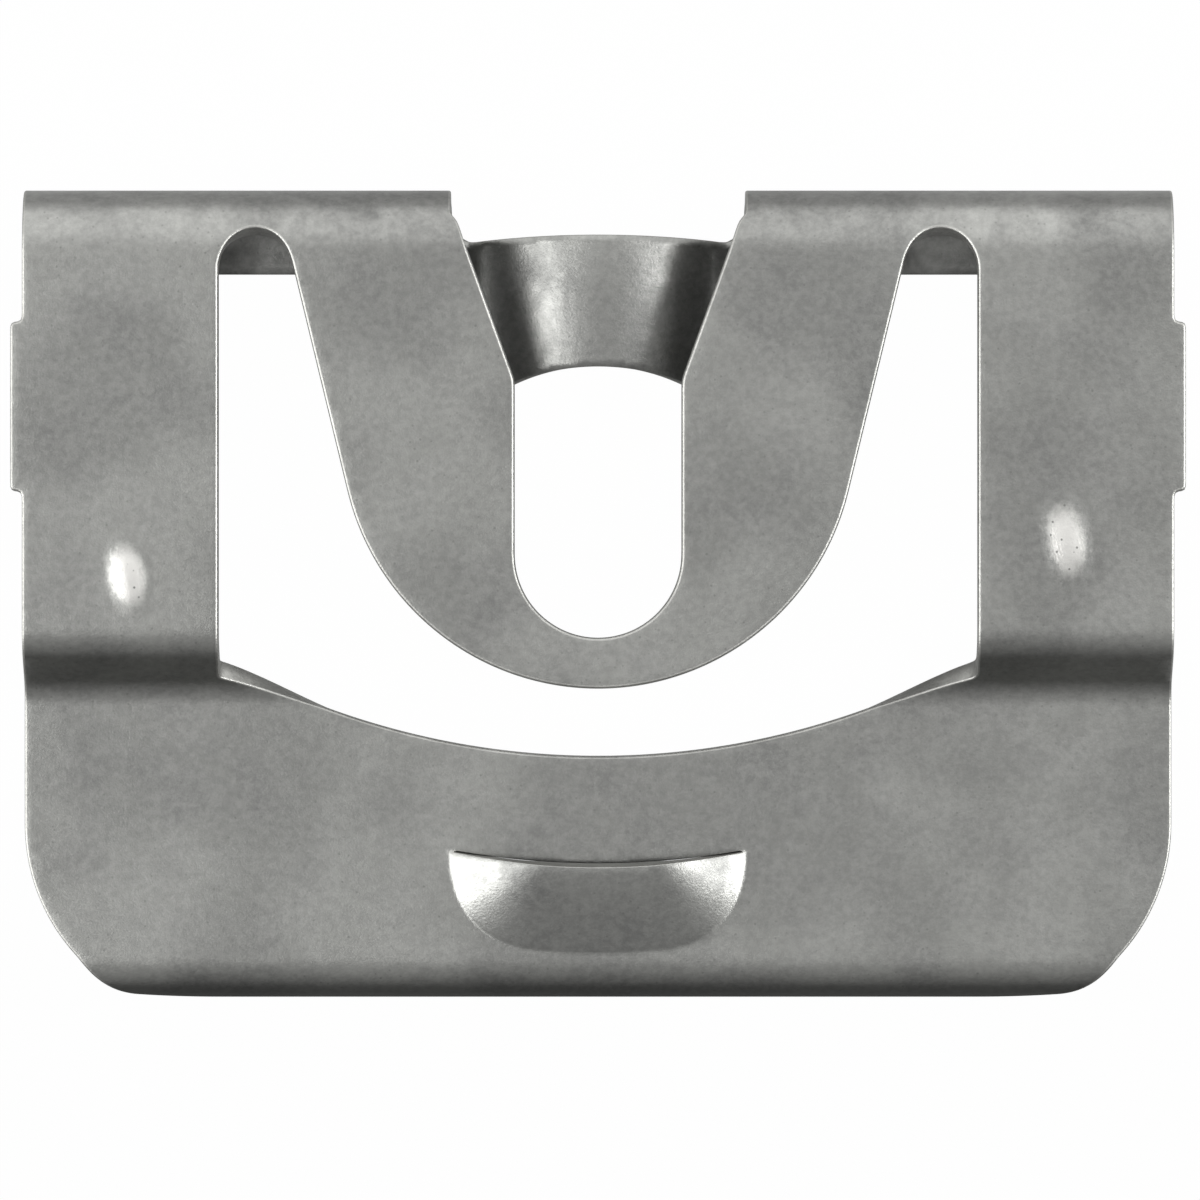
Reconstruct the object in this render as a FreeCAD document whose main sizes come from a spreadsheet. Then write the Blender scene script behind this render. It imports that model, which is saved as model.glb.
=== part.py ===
"""Spring-steel molding clip, folded from one pierced and lanced strip of sheet.

The clip lies on its back: +X runs along its width, +Y towards the folded top and
+Z out of the front plate. The origin is the stud's seat, the centre of the slot's
round end, in the middle of the sheet's thickness. All sizes are millimetres and degrees.
"""
import FreeCAD, Part
import math
import os
import Sketcher

NODE = "molding_clip"

SIZES = {
    # Sheet and outline
    "sheet_thick": 0.5,
    "clip_width": 29.6,
    "stud_to_top": 9.38,
    "stud_to_bottom": 11.45,
    "corner_radius": 5.0,
    # Fold at the top and the leg behind the plate
    "fold_outer_radius": 1.6,
    "hem_length": 2.12,
    "bridge_width": 10.8,
    "bridge_length": 5.78,
    "bridge_arch_radius": 5.5,
    "bridge_foot_land": 0.709,
    "bridge_corner_radius": 1.2,
    "bridge_root_radius": 0.8,
    "bow_width": 7.2,
    "bow_rise": 1.0,
    "bow_foot_radius": 1.5,
    # Step from the front plate down to the lower plate
    "stud_to_joggle": 1.82,
    "joggle_radius": 0.85,
    "joggle_angle": 60.0,
    # Curled bottom edge
    "curl_outer_radius": 1.0,
    "curl_angle": 80.0,
    "lip_length": 0.54,
    # Stud slot and the notch that leads the stud in
    "slot_width": 4.28,
    "slot_length": 4.48,
    "funnel_width": 7.2,
    "funnel_top": 8.6,
    "notch_width": 7.54,
    "notch_end": 8.07,
    "notch_corner_radius": 0.6,
    "notch_arch_radius": 28.0,
    # Window round the tongue
    "window_width": 19.48,
    "window_top": 8.3,
    "window_bottom": 5.19,
    "window_arc_radius": 20.3,
    "tongue_radius": 6.62,
    "tongue_centre": 3.17,
    "tongue_taper": 13.6,
    # Carrier tabs, sheared off beside the legs
    "tab_proud": 0.3,
    "tab_length": 4.3,
    "tab_level": 3.8,
    # Stiffening dimples in the legs
    "dimple_spacing": 24.4,
    "left_dimple_level": -0.45,
    "right_dimple_level": 0.35,
    "dimple_width": 1.9,
    "dimple_length": 3.4,
    "dimple_height": 0.4,
    "dimple_dome": 1.2,
    # Louver that catches the molding's flange
    "louver_level": 7.63,
    "louver_width": 7.44,
    "louver_reach": 2.46,
    "louver_height": 1.1,
    "louver_dome": 2.0,
    "louver_lip_radius": 21.0,
    # Room that a cutting outline keeps outside the sheet
    "cut_margin": 1.0,
    "web_cut_margin": 0.1,
}

PLACES = {
    # Side profile, in the middle of the sheet unless a face is named
    "half_thick": "sizes.sheet_thick / 2",
    "front_face": "sizes.sheet_thick / 2",
    "fold_inner_radius": "sizes.fold_outer_radius - sizes.sheet_thick",
    "fold_y": "sizes.stud_to_top - sizes.fold_outer_radius",
    "fold_z": "places.front_face - sizes.fold_outer_radius",
    "back_face": "places.fold_z - sizes.fold_outer_radius",
    "leg_z": "places.back_face + places.half_thick",
    "bridge_end": "sizes.stud_to_top - sizes.bridge_length",
    "bridge_arch_half": "sizes.bridge_width / 2 - sizes.bridge_corner_radius - sizes.bridge_foot_land",
    "curl_radius": "sizes.curl_outer_radius - places.half_thick",
    "curl_inner_radius": "sizes.curl_outer_radius - sizes.sheet_thick",
    "lip_rise": "sizes.lip_length * sin(sizes.curl_angle) + places.half_thick * cos(sizes.curl_angle)",
    "lower_z": "places.back_face + places.lip_rise + places.curl_radius * (1 - cos(sizes.curl_angle))",
    "web_length": "(-places.lower_z - 2 * sizes.joggle_radius * (1 - cos(sizes.joggle_angle)))"
                  " / sin(sizes.joggle_angle)",
    "web_y": "-sizes.stud_to_joggle - sizes.joggle_radius * sin(sizes.joggle_angle)",
    "web_z": "-sizes.joggle_radius * (1 - cos(sizes.joggle_angle))",
    "lower_y": "places.web_y - places.web_length * cos(sizes.joggle_angle)"
               " - sizes.joggle_radius * sin(sizes.joggle_angle)",
    "curl_y": "sizes.curl_outer_radius * sin(sizes.curl_angle)"
              " + sizes.lip_length * cos(sizes.curl_angle) - sizes.stud_to_bottom",
    "curl_z": "places.lower_z - places.curl_radius",
    # Window and tongue
    "window_half": "sizes.window_width / 2",
    "slot_radius": "sizes.slot_width / 2",
    "arch_radius": "(places.window_half * cos(sizes.tongue_taper)"
                   " - (sizes.window_top - sizes.tongue_centre) * sin(sizes.tongue_taper)"
                   " - sizes.tongue_radius) / (1 + cos(sizes.tongue_taper) - sin(sizes.tongue_taper))",
    "arch_x": "places.window_half - places.arch_radius",
    "arch_y": "sizes.window_top - places.arch_radius",
    "tip_half": "sqrt(sizes.tongue_radius ^ 2 - (sizes.tongue_centre + sizes.stud_to_joggle) ^ 2)",
    "window_sag": "sizes.window_arc_radius - sqrt(sizes.window_arc_radius ^ 2 - places.window_half ^ 2)",
    "blank_growth": "places.lower_y + sizes.stud_to_joggle + places.web_length"
                    " + 2 * sizes.joggle_radius * sizes.joggle_angle * pi / 180",
    "web_start": "sizes.stud_to_joggle + sizes.joggle_radius * sizes.joggle_angle * pi / 180",
    "corner_down": "sizes.window_bottom + places.blank_growth - places.window_sag - places.web_start",
    "bend_reach": "places.web_length + sizes.joggle_radius + places.half_thick",
    "facet_slope": "sqrt(sizes.window_arc_radius ^ 2 - places.window_half ^ 2) / places.window_half",
    # Rounded lower corners, as the flat blank's corner lies along the curl
    "curl_share": "sizes.lip_length + places.curl_radius * sizes.curl_angle * pi / 180",
    "corner_y": "places.curl_y + sizes.corner_radius - places.curl_share",
    "corner_x": "sizes.clip_width / 2 - sizes.corner_radius",
    "curl_corner_x": "places.corner_x + sqrt(sizes.corner_radius ^ 2"
                     " - (sizes.corner_radius - places.curl_share) ^ 2)",
    "lip_corner_x": "places.corner_x + sqrt(sizes.corner_radius ^ 2"
                    " - (sizes.corner_radius - sizes.lip_length) ^ 2)",
    "lip_y": "places.curl_y - sizes.curl_outer_radius * sin(sizes.curl_angle)",
    "lip_z": "places.curl_z + places.curl_radius * cos(sizes.curl_angle)",
    "curl_chord": "sqrt((places.curl_corner_x - places.lip_corner_x) ^ 2 + (places.curl_y - places.lip_y) ^ 2)",
    "curl_turn": "acos((sizes.corner_radius - places.curl_share) / sizes.corner_radius)"
                 " - atan((places.curl_y - places.lip_y) / (places.curl_corner_x - places.lip_corner_x))",
    # Bow of the bridge
    "bow_half": "sizes.bow_width / 2",
    "bow_reach": "(places.bow_half ^ 2 + sizes.bow_rise ^ 2) / (2 * sizes.bow_rise)",
    "bow_radius": "places.bow_reach - sizes.bow_foot_radius",
    "bow_turn": "asin(places.bow_half / places.bow_reach)",
    "bow_z": "places.leg_z + sizes.bow_rise - places.bow_radius",
}


def make_sizes(doc):
    """Put the driving sizes in the sheet and the worked-out places beside them."""
    sheet = doc.addObject("Spreadsheet::Sheet", "sizes")
    for row, (name, value) in enumerate(SIZES.items(), start=1):
        sheet.set(f"A{row}", name)
        sheet.set(f"B{row}", str(value))
        sheet.setAlias(f"B{row}", name)
    doc.recompute()
    places = doc.addObject("App::VarSet", "places")
    for name, text in PLACES.items():
        places.addProperty("App::PropertyFloat", name)
        places.setExpression(name, text)
    doc.recompute()


def origin_plane(body, role):
    """Return the body's own origin plane with this role."""
    return next(item for item in body.Origin.OriginFeatures if item.Role == role)


def place(feature, role, body, x="0", y="0", z="0", axis=(0, 0, 1), turn="0"):
    """Attach a feature to an origin plane, moved and turned in that plane's frame."""
    feature.AttachmentSupport = [(origin_plane(body, role), "")]
    feature.MapMode = "FlatFace"
    feature.AttachmentOffset = FreeCAD.Placement(
        FreeCAD.Vector(0, 0, 0), FreeCAD.Rotation(FreeCAD.Vector(*axis), 1.0))
    feature.setExpression("AttachmentOffset.Base.x", x)
    feature.setExpression("AttachmentOffset.Base.y", y)
    feature.setExpression("AttachmentOffset.Base.z", z)
    feature.setExpression("AttachmentOffset.Rotation.Angle", turn)


def draw(sketch, corners):
    """Close an outline whose corners and radii are bound to the sizes.

    Each corner is (x, y) where a straight edge leaves it, or (x, y, radius, side)
    where an arc does, with side 1 for an arc that turns left and -1 for one that
    turns right on the way to the next corner. No arc is longer than a half circle.
    """
    points = [FreeCAD.Vector(sketch.evalExpression(corner[0]), sketch.evalExpression(corner[1]), 0)
              for corner in corners]
    first = sketch.GeometryCount
    starts = []
    ends = []
    for index, corner in enumerate(corners):
        here = points[index]
        there = points[(index + 1) % len(points)]
        left_turn = len(corner) == 2 or corner[3] > 0
        if len(corner) == 2:
            edge = sketch.addGeometry(Part.LineSegment(here, there))
        else:
            radius = sketch.evalExpression(corner[2])
            half = (there - here) * 0.5
            reach = math.sqrt(max(radius ** 2 - half.Length ** 2, 0.0))
            across = FreeCAD.Vector(-half.y, half.x, 0).normalize() * (reach * corner[3])
            centre = here + half + across
            angles = [math.atan2(point.y - centre.y, point.x - centre.x) for point in (here, there)]
            if not left_turn:
                angles.reverse()
            circle = Part.Circle(centre, FreeCAD.Vector(0, 0, 1), radius)
            edge = sketch.addGeometry(Part.ArcOfCircle(circle, *angles))
            bind(sketch, Sketcher.Constraint("Radius", edge, radius), corner[2], f"radius_{edge}")
        starts.append((edge, 1 if left_turn else 2))
        ends.append((edge, 2 if left_turn else 1))
    for index, corner in enumerate(corners):
        sketch.addConstraint(Sketcher.Constraint("Coincident", *ends[index - 1], *starts[index]))
        for name, text, value in zip(("DistanceX", "DistanceY"), corner, points[index]):
            constraint = Sketcher.Constraint(name, -1, 1, *starts[index], value)
            bind(sketch, constraint, text, f"{name}_{first + index}")


def bind(sketch, constraint, text, name):
    """Add a constraint whose value follows an expression."""
    index = sketch.addConstraint(constraint)
    sketch.renameConstraint(index, name)
    sketch.setExpression(f"Constraints.{name}", text)


def new_sketch(body, name, role="XY_Plane", **offset):
    """Start a sketch on one of the body's origin planes."""
    sketch = body.newObject("Sketcher::SketchObject", name)
    place(sketch, role, body, **offset)
    return sketch


def extrude(body, kind, name, sketch, length, both_ways=False):
    """Pad or pocket a sketch and make sure that it adds or takes material."""
    before = body.Shape.Volume if not body.Shape.isNull() else 0.0
    feature = body.newObject(f"PartDesign::{kind}", name)
    feature.Profile = sketch
    feature.Type = "Length"
    feature.SideType = "Symmetric" if both_ways else "One side"
    feature.setExpression("Length", length)
    body.Document.recompute()
    confirm(body, name, before, adds=kind == "Pad")
    return feature


def confirm(body, name, before, adds):
    """Stop if a feature left the volume as it was or changed it the wrong way."""
    change = body.Shape.Volume - before
    if (change > 0) != adds or abs(change) < 1e-6:
        raise RuntimeError(f"{name} changed the volume by {change:.6f}")


def mirror(body, name, originals):
    """Repeat features on the other side of the clip's middle plane."""
    feature = body.newObject("PartDesign::Mirrored", name)
    feature.Originals = originals
    feature.MirrorPlane = (origin_plane(body, "YZ_Plane"), [""])
    body.Tip = feature
    body.Document.recompute()


def fold_strip(body):
    """Pad the side profile: bridge leg, fold, front plate, joggle, lower plate and curl."""
    outer_step = "(sizes.joggle_radius + places.half_thick)"
    inner_step = "(sizes.joggle_radius - places.half_thick)"
    step_z = "-sizes.joggle_radius"
    lower_bend_z = "(places.lower_z + sizes.joggle_radius)"
    lip_out = "sizes.lip_length * cos(sizes.curl_angle)"
    lip_down = "sizes.lip_length * sin(sizes.curl_angle)"
    front = [
        ("places.bridge_end", "places.back_face"),
        ("places.fold_y", "places.back_face", "sizes.fold_outer_radius", 1),
        ("sizes.stud_to_top", "places.fold_z", "sizes.fold_outer_radius", 1),
        ("places.fold_y", "places.front_face"),
        ("-sizes.stud_to_joggle", "places.front_face", outer_step, 1),
        (f"-sizes.stud_to_joggle - {outer_step} * sin(sizes.joggle_angle)",
         f"{step_z} + {outer_step} * cos(sizes.joggle_angle)"),
        (f"places.lower_y + {inner_step} * sin(sizes.joggle_angle)",
         f"{lower_bend_z} - {inner_step} * cos(sizes.joggle_angle)", inner_step, -1),
        ("places.lower_y", "places.lower_z + places.half_thick"),
        ("places.curl_y", "places.lower_z + places.half_thick", "sizes.curl_outer_radius", 1),
        ("places.curl_y - sizes.curl_outer_radius * sin(sizes.curl_angle)",
         "places.curl_z + sizes.curl_outer_radius * cos(sizes.curl_angle)"),
        (f"places.curl_y - sizes.curl_outer_radius * sin(sizes.curl_angle) - {lip_out}",
         f"places.curl_z + sizes.curl_outer_radius * cos(sizes.curl_angle) - {lip_down}"),
    ]
    back = [
        (f"places.curl_y - places.curl_inner_radius * sin(sizes.curl_angle) - {lip_out}",
         f"places.curl_z + places.curl_inner_radius * cos(sizes.curl_angle) - {lip_down}"),
        ("places.curl_y - places.curl_inner_radius * sin(sizes.curl_angle)",
         "places.curl_z + places.curl_inner_radius * cos(sizes.curl_angle)", "places.curl_inner_radius", -1),
        ("places.curl_y", "places.lower_z - places.half_thick"),
        ("places.lower_y", "places.lower_z - places.half_thick", outer_step, 1),
        (f"places.lower_y + {outer_step} * sin(sizes.joggle_angle)",
         f"{lower_bend_z} - {outer_step} * cos(sizes.joggle_angle)"),
        (f"-sizes.stud_to_joggle - {inner_step} * sin(sizes.joggle_angle)",
         f"{step_z} + {inner_step} * cos(sizes.joggle_angle)", inner_step, -1),
        ("-sizes.stud_to_joggle", "-places.half_thick"),
        ("places.fold_y", "-places.half_thick", "places.fold_inner_radius", -1),
        ("places.fold_y + places.fold_inner_radius", "places.fold_z", "places.fold_inner_radius", -1),
        ("places.fold_y", "places.back_face + sizes.sheet_thick"),
        ("places.bridge_end", "places.back_face + sizes.sheet_thick"),
    ]
    profile = new_sketch(body, "side_profile", "YZ_Plane")
    draw(profile, front + back)
    extrude(body, "Pad", "folded_strip", profile, "sizes.clip_width", both_ways=True)


def bow_bridge(body):
    """Swap the middle of the leg behind the plate for a strap bowed towards the stud's head."""
    clear = new_sketch(body, "bridge_clearing", z="places.leg_z + sizes.sheet_thick")
    draw(clear, [("-places.bow_half", "places.bridge_end - sizes.cut_margin"),
                 ("places.bow_half", "places.bridge_end - sizes.cut_margin"),
                 ("places.bow_half", "sizes.stud_to_top + sizes.cut_margin"),
                 ("-places.bow_half", "sizes.stud_to_top + sizes.cut_margin")])
    extrude(body, "Pocket", "bridge_gap", clear, "2 * sizes.sheet_thick")
    foot_end = "(sizes.notch_width / 2)"
    crest_out = "(places.bow_radius + places.half_thick)"
    crest_in = "(places.bow_radius - places.half_thick)"
    crest_top = f"places.bow_z + {crest_out} * cos(places.bow_turn)"
    crest_under = f"places.bow_z + {crest_in} * cos(places.bow_turn)"
    foot_in = "sizes.bow_foot_radius - places.half_thick"
    foot_out = "sizes.bow_foot_radius + places.half_thick"
    leg_face = "places.back_face + sizes.sheet_thick"
    section = new_sketch(body, "bow_section", "XZ_Plane", z="-sizes.window_top")
    draw(section, [
        (f"-{foot_end}", "places.back_face"),
        ("-places.bow_half", "places.back_face", foot_out, 1),
        (f"-{crest_in} * sin(places.bow_turn)", crest_under, crest_in, -1),
        (f"{crest_in} * sin(places.bow_turn)", crest_under, foot_out, 1),
        ("places.bow_half", "places.back_face"),
        (foot_end, "places.back_face"),
        (foot_end, leg_face),
        ("places.bow_half", leg_face, foot_in, -1),
        (f"{crest_out} * sin(places.bow_turn)", crest_top, crest_out, 1),
        (f"-{crest_out} * sin(places.bow_turn)", crest_top, foot_in, -1),
        ("-places.bow_half", leg_face),
        (f"-{foot_end}", leg_face),
    ])
    extrude(body, "Pad", "bowed_bridge", section, "sizes.window_top - places.bridge_end")


def trim_back_leg(body):
    """Cut the leg behind the plate to two short hems and the bridge between them."""
    hem_end = "(sizes.stud_to_top - sizes.hem_length)"
    side = "(sizes.bridge_width / 2)"
    outside = "(sizes.clip_width / 2 + sizes.cut_margin)"
    root = "sizes.bridge_root_radius"
    corner = "sizes.bridge_corner_radius"
    below = "places.bridge_end - sizes.cut_margin"
    trim = new_sketch(body, "back_leg_outline", z="-sizes.sheet_thick")
    draw(trim, [
        (outside, hem_end),
        (f"{side} + {root}", hem_end, root, 1),
        (side, f"{hem_end} - {root}"),
        (side, f"places.bridge_end + {corner}", corner, -1),
        (f"{side} - {corner}", "places.bridge_end"),
        ("places.bridge_arch_half", "places.bridge_end", "sizes.bridge_arch_radius", 1),
        ("-places.bridge_arch_half", "places.bridge_end"),
        (f"{corner} - {side}", "places.bridge_end", corner, -1),
        (f"-{side}", f"places.bridge_end + {corner}"),
        (f"-{side}", f"{hem_end} - {root}", root, 1),
        (f"-{side} - {root}", hem_end),
        (f"-{outside}", hem_end),
        (f"-{outside}", below),
        (outside, below),
    ])
    extrude(body, "Pocket", "back_leg_trim", trim, "2 * sizes.fold_outer_radius")


def flatten_tongue_tip(body):
    """Carry the front plate straight on to the tongue's tip, past the line where the legs step down."""
    outline = [("-places.tip_half", "-sizes.stud_to_joggle", "sizes.tongue_radius", 1),
               ("places.tip_half", "-sizes.stud_to_joggle")]
    clear = new_sketch(body, "tip_clearing", z="sizes.sheet_thick")
    draw(clear, outline)
    extrude(body, "Pocket", "stepped_tip", clear, "sizes.sheet_thick - (places.lower_z + places.leg_z) / 2")
    flat = new_sketch(body, "tip_outline", z="-places.half_thick")
    draw(flat, outline)
    extrude(body, "Pad", "tongue_tip", flat, "sizes.sheet_thick")


def cut_stud_way(body):
    """Cut the notch over the fold, the funnel and the slot that seats the stud's shank."""
    half = "(sizes.notch_width / 2)"
    corner = "sizes.notch_corner_radius"
    over_top = "sizes.stud_to_top + sizes.cut_margin"
    front = new_sketch(body, "stud_slot", z="sizes.sheet_thick")
    draw(front, [
        (half, over_top),
        (f"-{half}", over_top),
        (f"-{half}", "sizes.funnel_top + (sizes.notch_width - sizes.funnel_width) / 2"),
        ("-sizes.funnel_width / 2", "sizes.funnel_top"),
        ("-places.slot_radius", "sizes.slot_length"),
        ("-places.slot_radius", "0", "places.slot_radius", 1),
        ("0", "-places.slot_radius", "places.slot_radius", 1),
        ("places.slot_radius", "0"),
        ("places.slot_radius", "sizes.slot_length"),
        ("sizes.funnel_width / 2", "sizes.funnel_top"),
        (half, "sizes.funnel_top + (sizes.notch_width - sizes.funnel_width) / 2"),
    ])
    extrude(body, "Pocket", "stud_way", front, "sizes.fold_outer_radius")
    back = new_sketch(body, "notch_back", z="sizes.sheet_thick")
    draw(back, [
        (half, over_top),
        (f"-{half}", over_top),
        (f"-{half}", f"sizes.notch_end + {corner}", corner, 1),
        (f"{corner} - {half}", "sizes.notch_end", "sizes.notch_arch_radius", -1),
        (f"{half} - {corner}", "sizes.notch_end", corner, 1),
        (half, f"sizes.notch_end + {corner}"),
    ])
    extrude(body, "Pocket", "notch", back, "2 * sizes.fold_outer_radius + sizes.sheet_thick")


def cut_window(body):
    """Cut the window that frees the tongue, down into the joggle at its lower corners."""
    flank_x = "sizes.tongue_radius * cos(sizes.tongue_taper)"
    flank_y = "sizes.tongue_centre - sizes.tongue_radius * sin(sizes.tongue_taper)"
    touch_x = "places.arch_x - places.arch_radius * cos(sizes.tongue_taper)"
    touch_y = "places.arch_y + places.arch_radius * sin(sizes.tongue_taper)"
    arch = "places.arch_radius"
    sill = "places.window_sag - sizes.window_bottom"
    window = new_sketch(body, "tongue_window", z="sizes.sheet_thick")
    draw(window, [
        ("-places.window_half", "places.arch_y"),
        ("-places.window_half", sill, "sizes.window_arc_radius", 1),
        ("places.window_half", sill),
        ("places.window_half", "places.arch_y", arch, 1),
        ("places.arch_x", "sizes.window_top", arch, 1),
        (touch_x, touch_y),
        (flank_x, flank_y, "sizes.tongue_radius", -1),
        ("0", "sizes.tongue_centre - sizes.tongue_radius", "sizes.tongue_radius", -1),
        (f"-{flank_x}", flank_y),
        (f"-({touch_x})", touch_y, arch, 1),
        ("-places.arch_x", "sizes.window_top", arch, 1),
    ])
    extrude(body, "Pocket", "window", window, "sizes.sheet_thick - (places.lower_z + places.leg_z) / 2")


def square_window_corners(body):
    """Cut the window's lower corners square to the joggle's steep web, as in the flat blank."""
    corner = new_sketch(body, "web_corner", y="places.web_y", z="places.web_z",
                        axis=(1, 0, 0), turn="sizes.joggle_angle")
    inside = "places.window_half - (places.bend_reach - places.corner_down) * places.facet_slope"
    above = "sizes.sheet_thick"
    draw(corner, [
        ("places.window_half", above),
        (inside, above),
        (inside, "-places.bend_reach"),
        ("places.window_half", "-places.corner_down"),
    ])
    right = extrude(body, "Pocket", "web_corner_cut", corner,
                    "sizes.sheet_thick + 2 * sizes.web_cut_margin", both_ways=True)
    mirror(body, "web_corner_cuts", [right])


def round_lower_corners(body):
    """Round the blank's lower corners, from the front over the curl and along the lip."""
    outside = "sizes.clip_width / 2 + sizes.cut_margin"
    below = "-sizes.stud_to_bottom - sizes.cut_margin"
    edge = new_sketch(body, "plate_corner", z="sizes.sheet_thick")
    draw(edge, [
        ("sizes.clip_width / 2", "places.corner_y", "sizes.corner_radius", -1),
        ("places.curl_corner_x", "places.curl_y", "places.curl_chord / (2 * sin(places.curl_turn))", -1),
        ("places.lip_corner_x", "places.lip_y"),
        ("places.lip_corner_x", below),
        (outside, below),
        (outside, "places.corner_y"),
    ])
    front = extrude(body, "Pocket", "plate_corner_round", edge, "2 * sizes.fold_outer_radius + sizes.sheet_thick")
    lip = new_sketch(body, "lip_corner", "XZ_Plane", z="sizes.stud_to_bottom + sizes.cut_margin")
    draw(lip, [
        ("places.lip_corner_x", "places.lip_z", "sizes.corner_radius", -1),
        ("places.corner_x", "places.back_face"),
        ("places.corner_x", "places.back_face - sizes.cut_margin"),
        (outside, "places.back_face - sizes.cut_margin"),
        (outside, "places.lip_z"),
    ])
    under = extrude(body, "Pocket", "lip_corner_round", lip,
                    "sizes.cut_margin + sizes.curl_outer_radius + sizes.sheet_thick")
    mirror(body, "lower_corners", [front, under])


def add_tabs(body):
    """Leave the stubs where the strip was sheared from its carrier."""
    edge = "sizes.clip_width / 2"
    low = "sizes.tab_level - sizes.tab_length / 2"
    high = "sizes.tab_level + sizes.tab_length / 2"
    stub = new_sketch(body, "carrier_tab")
    draw(stub, [(f"{edge} - sizes.sheet_thick", low), (f"{edge} + sizes.tab_proud", low),
                (f"{edge} + sizes.tab_proud", high), (f"{edge} - sizes.sheet_thick", high)])
    tab = extrude(body, "Pad", "carrier_stub", stub, "sizes.sheet_thick", both_ways=True)
    mirror(body, "carrier_stubs", [tab])


def press_dome(body, name, x, y, face, height, dome, half_x, half_y, half_only=False):
    """Press a dome out of a plate: a cap on its front and the same cap, one sheet lower, out of its back."""
    level = f"({face} + {height} - {dome})"
    spread = f"cos(asin(({dome} - {height}) / {dome}))"
    for kind, tail, drop in (("Additive", "crown", "0"), ("Subtractive", "hollow", "sizes.sheet_thick")):
        before = body.Shape.Volume
        cap = body.newObject(f"PartDesign::{kind}Ellipsoid", f"{name}_{tail}")
        cap.Placement = FreeCAD.Placement(FreeCAD.Vector(0, 0, 0), FreeCAD.Rotation(180, 0, 0))
        for path, text in (("x", x), ("y", y), ("z", f"{level} - {drop}")):
            cap.setExpression(f"Placement.Base.{path}", text)
        cap.setExpression("Radius1", dome)
        cap.setExpression("Radius2", f"({half_x}) / {spread}")
        cap.setExpression("Radius3", f"({half_y}) / {spread}")
        cap.setExpression("Angle1", f"asin(({dome} - {height} - places.half_thick) / {dome})")
        cap.Angle2 = 90
        cap.Angle3 = 180 if half_only else 360
        body.Document.recompute()
        confirm(body, cap.Name, before, adds=kind == "Additive")


def press_leg_dimples(body):
    """Press one stiffening dimple into each leg."""
    for side, x in (("left", "-sizes.dimple_spacing / 2"), ("right", "sizes.dimple_spacing / 2")):
        press_dome(body, f"{side}_dimple", x, f"sizes.{side}_dimple_level", "places.front_face",
                   "sizes.dimple_height", "sizes.dimple_dome", "sizes.dimple_width / 2",
                   "sizes.dimple_length / 2")


def lance_louver(body):
    """Lance the lower plate and raise the sheet below the cut as a louver, open towards the top."""
    press_dome(body, "louver", "0", "-sizes.louver_level", "places.lower_z + places.half_thick",
               "sizes.louver_height", "sizes.louver_dome", "sizes.louver_width / 2",
               "sizes.louver_reach", half_only=True)
    half = "sizes.louver_width / 2"
    lance = [(half, "-sizes.louver_level"), (f"-{half}", "-sizes.louver_level", "sizes.louver_lip_radius", 1)]
    lip = new_sketch(body, "louver_lip", z="sizes.sheet_thick")
    draw(lip, lance)
    extrude(body, "Pocket", "louver_lip_trim", lip, "2 * sizes.fold_outer_radius + sizes.sheet_thick")
    sill = new_sketch(body, "louver_sill_outline", z="places.lower_z - places.half_thick")
    draw(sill, lance)
    extrude(body, "Pad", "louver_sill", sill, "sizes.sheet_thick")


def check(doc, body):
    """Raise if any object failed or the clip isn't one valid solid."""
    for item in doc.Objects:
        if "Invalid" in item.State or "Error" in item.State:
            raise RuntimeError(f"{item.Name} failed: {item.State}")
    shape = body.Shape
    if shape.isNull() or not shape.isValid() or len(shape.Solids) != 1:
        raise RuntimeError(f"{body.Label} isn't one valid solid")


def main():
    """Build the clip and write its STEP file."""
    os.makedirs("parts", exist_ok=True)
    doc = FreeCAD.newDocument("clip")
    make_sizes(doc)
    body = doc.addObject("PartDesign::Body", "clip_body")
    body.Label = NODE
    fold_strip(body)
    press_leg_dimples(body)
    lance_louver(body)
    bow_bridge(body)
    trim_back_leg(body)
    flatten_tongue_tip(body)
    cut_stud_way(body)
    cut_window(body)
    square_window_corners(body)
    round_lower_corners(body)
    add_tabs(body)
    check(doc, body)
    box = body.Shape.BoundBox
    print(f"{body.Label}: {box.XLength:.2f} x {box.YLength:.2f} x {box.ZLength:.2f} mm,"
          f" z {box.ZMin:.3f} to {box.ZMax:.3f}, {body.Shape.Volume:.1f} mm3, {len(body.Shape.Faces)} faces")
    body.Shape.exportStep(f"parts/{body.Label}.step")


main()
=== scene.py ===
"""Dress the molding clip: the folded spring-steel sheet, its finish and a plain studio.

The sheet is made as its press tool makes it. A flat blank is drawn with its holes and its sheared rims, then
a geometry node tree presses the dimples and the louver, turns the bends one by one and bows the bridge.
The blank is drawn in millimetres: x across the clip and y along the sheet, up from the stud's seat towards
the fold and down over the joggle to the curled edge. The finished mesh is in metres, in the clip's own frame.
"""
import logging
import math
from collections.abc import Sequence
from dataclasses import dataclass
from enum import Enum

import bpy
import numpy as np
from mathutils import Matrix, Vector
from mathutils.geometry import delaunay_2d_cdt


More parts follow.
